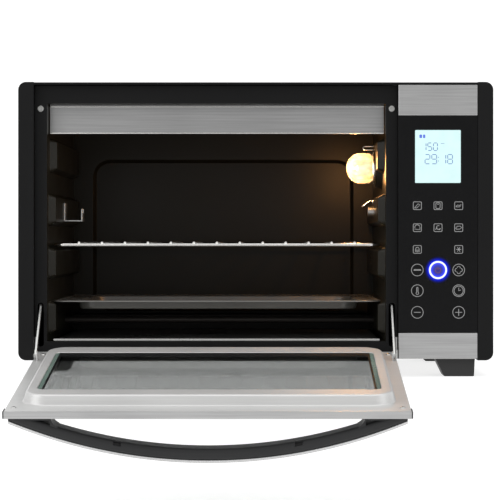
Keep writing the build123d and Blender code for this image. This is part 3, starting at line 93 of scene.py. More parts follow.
def corners(node, space=ROW):
    """The lowest and highest corners of a CAD node in millimetres, in the space given."""
    inverse = space.inverted()
    return box_of([inverse @ vertex.co for vertex in NODES[node].data.vertices])


def middle_of(low, high):
    """The middle of a box, given by its two corners."""
    return [(start + end) / 2 for start, end in zip(low, high)]


# ---------------------------------------------------------------- settings
def colour_setting(name, description, default):
    return FloatVectorProperty(
        name=name, description=description, subtype="COLOR", size=3, min=0.0, max=1.0, default=default
    )


def length_setting(name, description, default):
    return FloatProperty(name=name, description=description, unit="LENGTH", min=0.0, default=default)


class OvenColours(bpy.types.PropertyGroup):
    """Colours of the oven's finishes."""

    casing: colour_setting("Casing", "Powder coat of the casing", (0.0052, 0.0052, 0.0054))
    bezel: colour_setting("Bezel", "Sheet around the oven's opening", (0.0055, 0.0055, 0.0056))
    enamel: colour_setting("Enamel", "Enamel of the cavity", (0.0125, 0.0112, 0.0075))
    steel: colour_setting("Steel", "Brushed steel of the plates and trims", (0.37, 0.37, 0.37))
    door: colour_setting("Door steel", "Pressed inner panel of the door", (0.54, 0.54, 0.535))
    handle: colour_setting("Handle", "Moulded grip of the handle", (0.018, 0.0183, 0.019))
    strip: colour_setting("Handle strip", "Metallised strip along the handle", (0.50, 0.50, 0.50))
    lamp: colour_setting("Lamp", "Light of the cavity lamp", (1.0, 0.47, 0.15))
    display: colour_setting("Display", "Lit face of the display", (0.72, 1.0, 1.0))
    digits: colour_setting("Digits", "Segments of the display", (0.17, 0.30, 0.60))
    ring: colour_setting("Key ring", "Light round the power key", (0.012, 0.03, 1.0))
    legend: colour_setting("Key legends", "Printed legends of the touch keys", (0.30, 0.30, 0.30))


class OvenSizes(bpy.types.PropertyGroup):
    """Sizes that shape the pieces but aren't in the frame."""

    moulded_edge: length_setting("Moulded edge", "Rounding of moulded edges", 0.0012)
    bend: length_setting("Press bend", "Bend radius of the pressed door panel", 0.0022)
    legend_line: length_setting("Legend line", "Width of a line of the key legends", 0.00076)
    glow_reach: length_setting("Key glow", "How far the key's light spreads on the glass", 0.0060)
    lamp_power: FloatProperty(name="Lamp power", description="Light of the lamp", unit="POWER", default=4.2)
    digit_height: length_setting("Digit height", "Height of the lower row of digits", 0.0105)


def colours():
    return bpy.context.scene.oven_colours


def sizes():
    return bpy.context.scene.oven_sizes


# ---------------------------------------------------------------- finishes
class Signal:
    """One output in a finish's node tree. Arithmetic on it adds Math nodes."""

    def __init__(self, tree, socket=None):
        self.tree = tree
        self.socket = socket

    def node(self, kind, settings=None, inputs=None, output=0):
        """Adds a node, sets it up, then fills its sockets with numbers, colours or signals."""
        made = self.tree.nodes.new(kind)
        for name, value in (settings or {}).items():
            if name == "stops":
                ramp = made.color_ramp.elements
                while len(ramp) < len(value):
                    ramp.new(0.5)
                for element, (place, colour) in zip(ramp, value):
                    element.position = place
                    element.color = (*colour, 1.0)
            else:
                setattr(made, name, value)
        for name, value in (inputs or {}).items():
            if isinstance(value, Signal):
                self.tree.links.new(value.socket, made.inputs[name])
            else:
                made.inputs[name].default_value = value
        return Signal(self.tree, made.outputs[output] if len(made.outputs) else None)

    def math(self, operation, first, second, clamp=False):
        return self.node("ShaderNodeMath", {"operation": operation, "use_clamp": clamp}, {0: first, 1: second})

    def __add__(self, other):
        return self.math("ADD", self, other)

    def __radd__(self, other):
        return self.math("ADD", other, self)

    def __sub__(self, other):
        return self.math("SUBTRACT", self, other)

    def __rsub__(self, other):
        return self.math("SUBTRACT", other, self)

    def __mul__(self, other):
        return self.math("MULTIPLY", self, other)

    def __rmul__(self, other):
        return self.math("MULTIPLY", other, self)

    def __pow__(self, other):
        return self.math("POWER", self, other)

    def between(self, low, high):
        """0 where this is at low and 1 where it is at high, held outside them."""
        return self.node("ShaderNodeMapRange", {}, {0: self, 1: low, 2: high, 3: 0.0, 4: 1.0})


def start_finish(name):
    """An empty finish and the signal that its nodes are added through."""
    finish = bpy.data.materials.new(name)
    finish.use_nodes = True
    finish.node_tree.nodes.clear()
    return finish, Signal(finish.node_tree)


def end_finish(start, inputs):
    """The finish's one surface shader, from the inputs given."""
    shader = start.node("ShaderNodeBsdfPrincipled", {}, inputs)
    start.node("ShaderNodeOutputMaterial", {}, {"Surface": shader})


def mixed(start, share, first, second):
    """A colour between two others."""
    first, second = ((*colour, 1.0) if isinstance(colour, tuple) else colour for colour in (first, second))
    return start.node("ShaderNodeMix", {"data_type": "RGBA"}, {0: share, 6: first, 7: second}, output=2)


def position(start):
    """The place of each point of the surface, in metres."""
    return start.node("ShaderNodeTexCoord", output=3)


def distance(start, place, centre):
    """How far each point of the surface is from a centre, in metres."""
    return start.node("ShaderNodeVectorMath", {"operation": "DISTANCE"}, {0: place, 1: centre}, output=1)


def noise(start, place, scale, detail=2.0, roughness=0.55):
    """Soft clouds whose size falls as the scale grows."""
    inputs = {"Vector": place, "Scale": scale, "Detail": detail, "Roughness": roughness}
    return start.node("ShaderNodeTexNoise", {}, inputs)


def shade(colour, times):
    """A colour made darker or lighter."""
    return tuple(min(1.0, channel * times) for channel in colour)


def grained(
    name, colour, grain, rough, stretch=(1, 1, 1), metallic=0.0, bump=0.15, depth=4e-5, drift=0.18, dim=1.0,
    **constants,
):
    """A finish with fine grain, drawn out where it is brushed, and a slow drift of tone and gloss."""
    finish, start = start_finish(name)
    colour = shade(colour, dim)
    place = position(start)
    drawn = start.node("ShaderNodeMapping", {}, {"Vector": place, "Scale": stretch})
    fine = noise(start, drawn, grain, 3.0, 0.62)
    slow = noise(start, place, 9.0)
    tone = (fine * 0.6 + slow * 0.4).between(0.32, 0.68)
    gloss = (fine * 0.35 + slow * 0.65).between(0.3, 0.7)
    low, high = rough
    raised = start.node("ShaderNodeBump", {}, {"Strength": bump, "Distance": depth, "Height": fine})
    end_finish(
        start,
        {
            "Base Color": mixed(start, tone, shade(colour, 1 - drift), shade(colour, 1 + drift)),
            "Roughness": gloss * (high - low) + low,
            "Metallic": metallic,
            "Normal": raised,
            **{key.replace("_", " "): value for key, value in constants.items()},
        },
    )
    return finish


def clear_pane(name, tint, smudge=0.03, clarity=1.0):
    """Glass, with a faint smear of handling in its gloss."""
    finish, start = start_finish(name)
    place = position(start)
    smear = noise(start, place, 14.0, 4.0, 0.7).between(0.35, 0.75)
    clear = noise(start, place, 40.0)
    end_finish(
        start,
        {
            "Base Color": mixed(start, clear, tint, shade(tint, 0.97)),
            "Roughness": smear * smudge + 0.005,
            "Transmission Weight": clarity,
            "IOR": 1.5,
        },
    )
    return finish


def glowing(name, colour, strength, grain, base=(0.02, 0.02, 0.02)):
    """A lit face whose light drifts a little over the surface."""
    finish, start = start_finish(name)
    drift = noise(start, position(start), grain).between(0.3, 0.7)
    end_finish(
        start,
        {
            "Base Color": mixed(start, drift, base, shade(base, 1.3)),
            "Roughness": drift * 0.1 + 0.25,
            "Emission Color": mixed(start, drift, shade(colour, 0.93), colour),
            "Emission Strength": strength,
        },
    )
    return finish


def lamp_globe_finish():
    """Fluted lamp glass: pale where the bulb shines through, amber towards the wall and in the flutes."""
    finish, start = start_finish("lamp_globe_amber")
    place = position(start)
    x, y, z = middle_of(*corners("lamp_glass"))
    away = distance(start, place, (x / 1000 - 0.002, y / 1000, z / 1000))
    cells = start.node("ShaderNodeTexVoronoi", {"feature": "SMOOTH_F1"}, {"Vector": place, "Scale": 150.0})
    glow = (away * 38.0 + cells * 0.55).between(0.45, 1.25)
    lit = start.node(
        "ShaderNodeValToRGB",
        {"stops": ((0.0, (1.0, 0.97, 0.88)), (0.5, (1.0, 0.86, 0.52)), (1.0, (0.80, 0.36, 0.08)))},
        {"Fac": glow},
    )
    end_finish(
        start,
        {
            "Base Color": mixed(start, glow, (0.30, 0.25, 0.15), (0.16, 0.07, 0.02)),
            "Roughness": cells * 0.2 + 0.08,
            "Emission Color": lit,
            "Emission Strength": 0.95,
            "Alpha": 0.66 + glow * 0.3,
            "Coat Weight": 0.6,
        },
    )
    return finish


def key_centre():
    """The middle of the power key's face, and its radius."""
    low, high = corners("power_key_light")
    return Vector(((low.x + high.x) / 2, low.y, (low.z + high.z) / 2)), (high.x - low.x) / 2


def ringed(name, stops, strength, alpha=None):
    """Light in rings about the power key, given as colours at shares of the radius."""
    finish, start = start_finish(name)
    centre, radius = key_centre()
    reach = radius + (sizes().glow_reach * 1000 if alpha else 0)
    share = distance(start, position(start), tuple(centre / 1000)) * (1000.0 / reach)
    lit = start.node("ShaderNodeValToRGB", {"stops": stops}, {"Fac": share})
    inputs = {
        "Base Color": (0.0, 0.0, 0.0, 1.0),
        "Roughness": share * 0.1 + 0.15,
        "Emission Color": lit,
        "Emission Strength": strength,
    }
    if alpha:
        inputs["Alpha"] = (1.0 - share.between(radius / reach, 1.0)) ** 3.2 * alpha
        inputs["Specular IOR Level"] = 0.0
    end_finish(start, inputs)
    return finish


BRUSHED = {"stretch": (1.0, 55.0, 55.0), "metallic": 1.0, "bump": 0.1, "depth": 2e-5}
PRESSED = {**BRUSHED, "metallic": 0.42, "bump": 0.08, "drift": 0.07}
METAL = {"metallic": 1.0}
STAGE = {"bump": 0.01, "drift": 0.012, "Emission_Color": (1.0, 1.0, 1.0, 1.0), "Emission_Strength": 0.72}


def glossed(bump, depth=4e-5, gloss=0.5):
    """The height of a coat's grain and how strongly the coat reflects."""
    return {"bump": bump, "depth": depth, "Specular_IOR_Level": gloss}


# Each grained finish by its slot: the rest of its name, its colour or the setting that holds it, the
# scale of its grain, the range of its roughness, and what else it needs.
GRAINED = {
    "case_black": ("powder_coat", "casing", 1500.0, (0.36, 0.48), glossed(0.35, 6e-5, 0.12)),
    "bezel_black": ("satin", "bezel", 900.0, (0.3, 0.42), glossed(0.12, gloss=0.14)),
    "enamel_dark": ("speckled", "enamel", 2600.0, (0.26, 0.4), glossed(0.3, 5e-5, 0.14)),
    "tray_enamel": ("grey", (0.10, 0.098, 0.09), 2200.0, (0.22, 0.34), glossed(0.2, gloss=0.8)),
    "satin_steel": ("brushed", "steel", 11.0, (0.26, 0.36), BRUSHED),
    "shield_steel": ("rolled", "steel", 9.0, (0.3, 0.42), {**BRUSHED, "dim": 0.8}),
    "bright_steel": ("drawn", (0.62, 0.61, 0.59), 700.0, (0.12, 0.24), METAL),
    "zinc_steel": ("plated", (0.46, 0.46, 0.45), 500.0, (0.24, 0.4), METAL),
    "door_steel": ("pressed", "door", 10.0, (0.38, 0.48), PRESSED),
    "ground_glass": (
        "green", (0.17, 0.24, 0.21), 240.0, (0.12, 0.3),
        {"stretch": (1.0, 4.0, 1.0), "bump": 0.2, "drift": 0.3, "Coat_Weight": 0.5},
    ),
    "glass_print": ("black", (0.006, 0.006, 0.0065), 1200.0, (0.3, 0.4), glossed(0.01, gloss=0.2)),
    "handle_plastic": ("charcoal", "handle", 1800.0, (0.34, 0.44), glossed(0.3, 6e-5, 0.22)),
    "handle_silver": ("plated", "strip", 800.0, (0.2, 0.3), METAL),
    "heater_metal": ("oxide", (0.035, 0.03, 0.027), 400.0, (0.4, 0.6), {"metallic": 0.6, "bump": 0.3}),
    "ceramic": ("bisque", (0.62, 0.58, 0.5), 600.0, (0.55, 0.75), glossed(0.3)),
    "touch_glass": ("black", (0.0045, 0.0045, 0.0048), 300.0, (0.12, 0.2), glossed(0.02, gloss=0.09)),
    "board_green": ("laminate", (0.015, 0.09, 0.03), 300.0, (0.3, 0.45), {}),
    "motor_steel": ("rolled", (0.35, 0.35, 0.34), 60.0, (0.35, 0.5), METAL),
    "rubber_black": ("moulded", (0.012, 0.012, 0.012), 1300.0, (0.5, 0.66), glossed(0.3)),
    "bumper_grey": ("silicone", (0.30, 0.30, 0.29), 700.0, (0.45, 0.6), {}),
    "fan_alloy": ("stamped", (0.5, 0.5, 0.5), 80.0, (0.3, 0.45), METAL),
    "stage_pale": ("matt", (0.42, 0.42, 0.42), 900.0, (0.8, 0.9), {**STAGE, "Specular_IOR_Level": 0.05}),
}


def ring_stops(light):
    """Dark blue inside a white-hot line, which blue light borders."""
    white = (0.85, 0.9, 1.0)
    inside = ((0.0, (0.02, 0.01, 0.13)), (0.5, (0.010, 0.016, 0.34)))
    return (*inside, (0.76, light), (0.82, white), (0.95, white), (1.0, light))


OTHER_FINISHES = {
    "clear_glass": lambda c: clear_pane("clear_glass_pane", (0.965, 0.98, 0.972)),
    "glass_edge": lambda c: clear_pane("glass_edge_green", (0.30, 0.52, 0.45), 0.2, 0.6),
    "printed_glass": lambda c: clear_pane("printed_glass_pane", (0.95, 0.965, 0.96)),
    "lamp_glass": lambda c: lamp_globe_finish(),
    "lamp_glow": lambda c: glowing("lamp_filament_glow", (1.0, 0.84, 0.56), 2.2, 300.0),
    "lcd_face": lambda c: glowing("lcd_face_lit", tuple(c.display), 1.0, 60.0),
    "lcd_digits": lambda c: glowing("lcd_digits_ink", tuple(c.digits), 0.95, 400.0),
    "lcd_marker": lambda c: glowing("lcd_marker_blue", (0.10, 0.19, 0.85), 0.9, 400.0),
    "key_light": lambda c: ringed("key_light_ring", ring_stops(tuple(c.ring)), 1.3),
    "key_glow": lambda c: ringed("key_glow_spread", ((0.0, tuple(c.ring)), (1.0, tuple(c.ring))), 1.0, 0.7),
    "key_mark": lambda c: glowing("key_mark_red", (0.16, 0.012, 0.10), 0.6, 400.0),
    "key_legend": lambda c: glowing("key_legend_print", tuple(c.legend), 0.62, 900.0, (0.10, 0.10, 0.10)),
}
MADE_FINISHES = {}


def finish_for(slot):
    """A finish by its slot, made the first time that it is asked for."""
    if slot not in MADE_FINISHES:
        if slot in GRAINED:
            look, colour, grain, rough, more = GRAINED[slot]
            if isinstance(colour, str):
                colour = tuple(getattr(colours(), colour))
            MADE_FINISHES[slot] = grained(f"{slot}_{look}", colour, grain, rough, **more)
        else:
            MADE_FINISHES[slot] = OTHER_FINISHES[slot](colours())
    return MADE_FINISHES[slot]


# ---------------------------------------------------------------- modelling
def settle(name, shape, space, finishes, body, replaces=(), sharp=38.0):
    """Turns a shape in millimetres into a finished piece that rides on a body."""
    shape.transform(space)
    shape.normal_update()
    bmesh.ops.recalc_face_normals(shape, faces=shape.faces)
    mesh = bpy.data.meshes.new(name)
    shape.to_mesh(mesh)
    shape.free()
    mesh.shade_smooth()
    mesh.set_sharp_from_angle(angle=math.radians(sharp))
    made = bpy.data.objects.new(name, mesh)
    bpy.context.scene.collection.objects.link(made)
    for finish in finishes:
        mesh.materials.append(finish_for(finish))
    if body is None:
        return made
    # broad flat faces keep their own direction, and the narrow bends beside them carry the turn
    weighted = made.modifiers.new("flat_faces", "WEIGHTED_NORMAL")
    weighted.keep_sharp = True
    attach(made, body)
    if replaces:
        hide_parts(*replaces)
    return made


def rounded(shape, geom, width, steps=2, affect="EDGES"):
    """Rounds edges or corners, and gives what that makes."""
    return bmesh.ops.bevel(
        shape, geom=geom, offset=width, offset_type="OFFSET", segments=steps, profile=0.5, affect=affect,
        clamp_overlap=True, material=-1,
    )


def cad_shape(node, space=ROW, weld=0.004):
    """A CAD piece in millimetres, its loose triangles joined."""
    shape = bmesh.new()
    shape.from_mesh(NODES[node].data)
    shape.transform(space.inverted())
    bmesh.ops.remove_doubles(shape, verts=shape.verts, dist=weld)
    return shape


def softened(node, width, finish=None, sharp_over=32.0):
    """A copy of a CAD piece with its edges rounded, standing for it."""
    slot = SUBPARTS[node]["material_slot"]
    shape = cad_shape(node)
    bmesh.ops.dissolve_limit(shape, angle_limit=math.radians(1.5), verts=shape.verts, edges=shape.edges)
    sharp = math.radians(sharp_over)
    rounded(shape, [edge for edge in shape.edges if edge.is_manifold and edge.calc_face_angle(0.0) > sharp], width)
    settle(f"{node}_soft", shape, ROW, [finish or slot], NODES[node]["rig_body"], (node,))


def soften(**widths):
    """Softens several CAD pieces, each by its own width."""
    for node, width in widths.items():
        softened(node, width)


def refinish(*nodes):
    """Gives CAD pieces that stay as they are the finish of their slot."""
    for node in nodes:
        for place in NODES[node].material_slots:
            place.material = finish_for(SUBPARTS[node]["material_slot"])


def flat_face(shape, low, high, height, corner=0.0, steps=8):
    """A flat face with rounded corners at a height, facing up."""
    made = bmesh.ops.create_grid(shape, x_segments=1, y_segments=1, size=0.5)["verts"]
    bmesh.ops.scale(shape, vec=(high[0] - low[0], high[1] - low[1], 1.0), verts=made)
    bmesh.ops.translate(shape, vec=((low[0] + high[0]) / 2, (low[1] + high[1]) / 2, height), verts=made)
    if corner:
        made = rounded(shape, made, corner, steps, "VERTICES")["verts"]
    return made[0].link_faces[0]


def turn_over(shape, face):
    """Makes a face point the other way."""
    bmesh.ops.reverse_faces(shape, faces=[face])
    return face


def bend(radius, start, end, count=4):
    """The (inset, rise) steps of a bend, its slope turning from start to end, in degrees."""
    turn = math.radians(end - start) / count
    chord = 2 * radius * math.sin(abs(turn) / 2)
    slopes = [math.radians(start) + (step + 0.5) * turn for step in range(count)]
    return [(chord * math.cos(slope), chord * math.sin(slope)) for slope in slopes]


def step_in(shape, face, steps):
    """Carries a face inwards and along its normal by (inset, rise) steps, leaving a wall behind it."""
    for inset, rise in steps:
        bmesh.ops.inset_region(
            shape, faces=[face], thickness=inset, depth=rise, use_even_offset=True, use_boundary=True
        )
    return face


def drawn_out(shape, made, by):
    """Moves what an extrusion made."""
    verts = [part for part in made if isinstance(part, bmesh.types.BMVert)]
    bmesh.ops.translate(shape, vec=by, verts=verts)


def rounded_slab(shape, low, high, corner, edge, steps=3):
    """A slab between two corners, its outline and its edges rounded, made from its lowest face up."""
    bottom = turn_over(shape, flat_face(shape, low, high, low[2], corner))
    walls = bmesh.ops.extrude_face_region(shape, geom=[bottom], use_keep_orig=True)["geom"]
    drawn_out(shape, walls, (0, 0, high[2] - low[2]))
    top = next(part for part in walls if isinstance(part, bmesh.types.BMFace))
    if edge:
        rounded(shape, list(dict.fromkeys([*bottom.edges, *top.edges])), edge, steps)


def slab(low, high, corner=0.0, edge=0.0):
    """A rounded slab as a new shape."""
    shape = bmesh.new()
    rounded_slab(shape, low, high, corner, edge)
    return shape


def close_ends(shape):
    """Fills a shape's open loops."""
    bmesh.ops.holes_fill(shape, edges=[edge for edge in shape.edges if edge.is_boundary], sides=0)


def cut(shape, place, outwards, clear_outer=False):
    """Cuts a shape at a plane, and drops what lies outside it where that is asked for."""
    parts = [*shape.verts, *shape.edges, *shape.faces]
    bmesh.ops.bisect_plane(shape, geom=parts, plane_co=place, plane_no=outwards, clear_outer=clear_outer)


def framed(shape, face, low, high, corner):
    """Leaves a flat frame between a face's outline and a smaller rounded one, and gives the face inside it."""
    inside = flat_face(shape, low, high, face.verts[0].co.z, corner)
    if inside.normal.z * face.normal.z < 0:
        turn_over(shape, inside)
    loops = [*face.edges, *inside.edges]
    bmesh.ops.delete(shape, geom=[face], context="FACES_ONLY")
    bmesh.ops.bridge_loops(shape, edges=loops)
    return inside


def placed(centre, axis):
    """Takes a shape built up from the ground plane to a centre, its upward axis turned to the axis given."""
    turned = Vector((0, 0, 1)).rotation_difference(Vector(axis)).to_matrix().to_4x4()
    return Matrix.Translation(centre) @ turned


def lathe(shape, profile, centre, axis, steps):
    """Turns a profile of (radius, height) points about an axis. Its ends lie on the axis, or meet."""
    turned = bmesh.new()
    points = [turned.verts.new((radius, 0.0, height)) for radius, height in profile]
    edges = [turned.edges.new(pair) for pair in zip(points, points[1:])]
    bmesh.ops.spin(
        turned, geom=[*points, *edges], cent=(0, 0, 0), axis=(0, 0, 1), angle=math.tau, steps=steps,
        use_merge=True, use_duplicate=False,
    )
    bmesh.ops.remove_doubles(turned, verts=turned.verts, dist=0.003)
    turned.transform(placed(centre, axis))
    merge(shape, turned)


def wire_shape(runs, radius, sides=3):
    """Round wire along runs of points, each (points, closed), as a new shape."""
    path = bpy.data.curves.new("wire_path", "CURVE")
    path.dimensions = "3D"
    path.bevel_depth = radius
    path.bevel_resolution = sides
    path.use_fill_caps = True
    for points, closed in runs:
        spline = path.splines.new("POLY")
        spline.points.add(len(points) - 1)
        for point, place in zip(spline.points, points):
            point.co = (*place, 1.0)
        spline.use_cyclic_u = closed
    holder = bpy.data.objects.new("wire_path", path)
    bpy.context.scene.collection.objects.link(holder)
    mesh = bpy.data.meshes.new_from_object(holder.evaluated_get(bpy.context.evaluated_depsgraph_get()))
    bpy.data.objects.remove(holder)
    shape = bmesh.new()
    shape.from_mesh(mesh)
    bpy.data.meshes.remove(mesh)
    bmesh.ops.remove_doubles(shape, verts=shape.verts, dist=1e-4)
    return shape


def merge(shape, other):
    """Adds another shape to a shape."""
    mesh = bpy.data.meshes.new("merged")
    other.to_mesh(mesh)
    other.free()
    shape.from_mesh(mesh)
    bpy.data.meshes.remove(mesh)


def arc(centre, radius, start, end, steps=8):
    """Points of an arc in the plane of the first two axes, its angles in degrees."""
    angles = [math.radians(start + (end - start) * step / steps) for step in range(steps + 1)]
    return [(centre[0] + radius * math.cos(angle), centre[1] + radius * math.sin(angle)) for angle in angles]


def rounded_run(low, high, corner, steps=6):
    """The points of a rounded rectangle."""
    turns = (
        ((high[0] - corner, high[1] - corner), 0),
        ((low[0] + corner, high[1] - corner), 90),
        ((low[0] + corner, low[1] + corner), 180),
        ((high[0] - corner, low[1] + corner), 270),
    )
    return [point for centre, start in turns for point in arc(centre, corner, start, start + 90, steps)]


def islands(node, space=ROW):
    """The boxes of a CAD piece's separate solids, in millimetres."""
    shape = cad_shape(node, space, 0.01)
    left = set(shape.verts)
    boxes = []
    while left:
        spread = [left.pop()]
        found = list(spread)
        while spread:
            vert = spread.pop()
            fresh = [other for other in (edge.other_vert(vert) for edge in vert.link_edges) if other in left]
            left.difference_update(fresh)
            found += fresh
            spread += fresh
        boxes.append(box_of([vert.co for vert in found]))
    shape.free()
    return sorted(boxes, key=lambda box: [round(place, 1) for place in box[0]])


def screw_heads(name, node, radius, height, level, axis, space, body):
    """Domed screw heads, each with a black cross of painted shade standing for its crossed recess, one over each
    screw of a CAD piece.
    """
    flat = [abs(part) < 0.5 for part in axis]
    places = [
        [place if across else level for place, across in zip(middle_of(*box), flat)] for box in islands(node, space)
    ]
    dome = [(0.0, height), (radius * 0.55, height * 0.93), (radius * 0.85, height * 0.6), (radius, 0.0), (0.0, 0.0)]
    long, narrow = radius * 1.05 / 2, radius * 1.05 * 0.22 / 2
    shape, recess = bmesh.new(), bmesh.new()
    for place in places:
        lathe(shape, dome, place, axis, 24)
        for x, y in ((long, narrow), (narrow, long)):
            bar = slab((-x, -y, height * 0.6), (x, y, height * 1.02))
            bar.transform(placed(place, axis))
            merge(recess, bar)
    # the cross is painted shade: solid black bars where a real recess would be dark
    for face in recess.faces:
        face.material_index = 1
    merge(shape, recess)
    settle(name, shape, space, ["zinc_steel", "rubber_black"], body, (node,))


# ---------------------------------------------------------------- casing
class OVEN_OT_casing(bpy.types.Operator):
    """Casing sheets, feet, bumpers, screws and the cord's gland"""

    bl_idname = "oven.casing"
    bl_label = "Casing"

    def execute(self, context):
        soften(
            side_panel_left=0.7, side_panel_right=0.7, top_cover=0.35, front_frame=0.3, back_panel=0.4, base_pan=0.3,
            feet=sizes().moulded_edge * 1000, cord_gland=0.8, foot_screws=0.3,
        )
        height = 1.5
        level = corners("cover_screws")[1].y - height
        screw_heads("cover_screw_heads", "cover_screws", 3.5, height, level, (0, 1, 0), ROW, "case")
        bumpers()
        return {"FINISHED"}


def bumpers():
    """Door bumpers: a soft button with a rounded rim and a dimple."""
    shape = bmesh.new()
    reach = 1.7
    for low, high in islands("door_bumpers"):
        radius = (high.x - low.x) / 2
        profile = [(0.0, reach - 0.35), (radius * 0.35, reach - 0.3), (radius * 0.5, reach), (radius - 0.6, reach)]
        profile += [(radius - 0.15, reach - 0.3), (radius, reach - 0.8), (radius, 0.0), (0.0, 0.0)]
        x, _, z = middle_of(low, high)
        lathe(shape, profile, (x, low.y + reach, z), (0, -1, 0), 28)
    settle("bumper_buttons", shape, ROW, ["bumper_grey"], "case", ("door_bumpers",))


# ---------------------------------------------------------------- cavity
class OVEN_OT_cavity(bpy.types.Operator):
    """Pressed cavity walls, shield, heaters, probe, spit bracket and what lies behind the walls"""

    bl_idname = "oven.cavity"
    bl_label = "Cavity"

    def execute(self, context):
        for wall in ("cavity_side_left", "cavity_side_right", "cavity_back"):
            softened(wall, 0.3, sharp_over=25.0)
        soften(cavity_floor=0.2, cavity_ceiling=0.2)
        softened("heater_shield", 0.3, "shield_steel")
        soften(spit_bracket=0.35, spit_socket=0.4)
        refinish("heater_insulators", "spit_motor", "fan_housing", "fan_motor", "fan_blade", "lamp_socket")
        shield_hems()
        heaters()
        probe()
        return {"FINISHED"}


def shield_hems():
    """The shield's two folded hems, which catch the light."""
    low, high = corners("heater_shield")
    shape = bmesh.new()
    y = low.y + 0.2
    for z in (low.z + 0.7, high.z - 2.2):
        merge(shape, wire_shape([([(low.x + 0.5, y, z), (high.x - 0.5, y, z)], False)], 0.7, 2))
    settle("heater_shield_hems", shape, ROW, ["bright_steel"], "case")


def heaters():
    """Heater rods with domed, crimped ends."""
    neck = 6.0
    for node in ("lower_heaters", "upper_heaters"):
        shape = bmesh.new()
        for low, high in islands(node):
            radius = (high.z - low.z) / 2
            length = high.x - low.x
            profile = [(0.0, 0.0), (1.5, 0.0), (1.5, neck), (radius - 0.8, neck), (radius, neck + 0.9)]
            profile += [(radius - 0.35, neck + 2.2), (radius, neck + 3.4)]
            mirrored = [(out, length - along) for out, along in reversed(profile)]
            _, y, z = middle_of(low, high)
            lathe(shape, profile + mirrored, (low.x, y, z), (1, 0, 0), 20)
        settle(f"{node}_rods", shape, ROW, ["heater_metal"], "case", (node,))


def probe():
    """Thermostat probe: a bent rod from a pressed washer."""
    low, high = corners("temperature_probe")
    y = (low.y + high.y) / 2
    run = [
        (high.x, y, high.z - 2.4), (high.x - 4, y, high.z - 3.2), (low.x + 2, y, low.z + 2.4),
        (low.x + 0.8, y, low.z + 1.7),
    ]
    shape = wire_shape([(run, False)], 1.5)
    washer = [(0.0, 1.2), (2.6, 1.2), (3.9, 0.5), (4.0, 0.0), (0.0, 0.0)]
    lathe(shape, washer, (high.x, y, high.z - 4), (-1, 0, 0), 24)
    settle("temperature_probe_rod", shape, ROW, ["bright_steel"], "case", ("temperature_probe",))


# ---------------------------------------------------------------- lamp
class OVEN_OT_lamp(bpy.types.Operator):
    """Fluted lamp glass, collar, bulb and the wire that holds the glass"""

    bl_idname = "oven.lamp"
    bl_label = "Lamp"

    def execute(self, context):
        low, high = corners("lamp_glass")
        _, y, z = middle_of(low, high)
        radius = (high.z - low.z) / 2
        self.globe((high.x, y, z), radius, high.x - low.x)
        self.bulb()
        softened("lamp_collar", 0.5)
        self.clip((high.x, y, z), radius)
        lamp = bpy.data.lights.new("lamp_light", "POINT")
        lamp.energy = sizes().lamp_power
        lamp.color = tuple(colours().lamp)
        lamp.shadow_soft_size = 0.012
        holder = bpy.data.objects.new("lamp_light", lamp)
        holder.location = ROW @ Vector((low.x + 12, y, z))
        context.scene.collection.objects.link(holder)
        return {"FINISHED"}

    def globe(self, centre, radius, reach):
        """Every other column of the turned dome is drawn in to make the flutes."""
        shape = bmesh.new()
        columns = 36
        neck = [(0.80, 0.0), (0.80, 3.2), (0.92, 5.2), (1.0, 7.0), (0.97, 9.5), (1.0, 12.0)]
        crown = radius * 0.95
        dome = [
            (radius * math.cos(angle), reach - crown + crown * math.sin(angle))
            for angle in (math.radians(step * 90 / 7) for step in range(1, 7))
        ]
        profile = [(radius * share, height) for share, height in neck] + dome + [(0.0, reach)]
        lathe(shape, profile, (0, 0, 0), (0, 0, 1), columns)
        for vert in shape.verts:
            column = round(math.atan2(vert.co.y, vert.co.x) / math.tau * columns)
            if vert.co.xy.length > 0.5 and vert.co.z > 4.5 and column % 2:
                vert.co.xy *= 0.9
        shape.transform(placed(centre, (-1, 0, 0)))
        close_ends(shape)
        settle("lamp_globe", shape, ROW, ["lamp_glass"], "case", ("lamp_glass",), 60.0)

    def bulb(self):
        """A small bulb on a straight neck."""
        low, high = corners("lamp_bulb")
        radius = (high.z - low.z) / 2
        shape = bmesh.new()
        length = high.x - low.x
        profile = [(0.0, 0.0), (6.0, 0.0), (6.0, length - 2.2 * radius), (radius * 0.85, length - 1.7 * radius)]
        profile += [(radius, length - radius), (radius * 0.87, length - radius * 0.5)]
        profile += [(radius * 0.5, length - radius * 0.13), (0.0, length)]
        _, y, z = middle_of(low, high)
        lathe(shape, profile, (high.x, y, z), (-1, 0, 0), 24)
        settle("lamp_bulb_lit", shape, ROW, ["lamp_glow"], "case", ("lamp_bulb",))

    def clip(self, centre, radius):
        """A sprung wire hairpin that stands out from the wall above the glass."""
        x, y, z = centre
        bow, gap, root = 2.0, radius + 6.0, x - 1.0
        end = x - 12.0
        tip = [(end - bow * math.sin(turn), y, z + gap + bow * math.cos(turn)) for turn in (0.5, 1.57, 2.6)]
        upper, lower = z + gap + bow, z + gap - bow
        points = [(root, y, upper), (end, y, upper), *tip, (end, y, lower), (root, y, lower)]
        shape = wire_shape([(points, False)], 0.7)
        settle("lamp_wire_clip", shape, ROW, ["bright_steel"], "case")


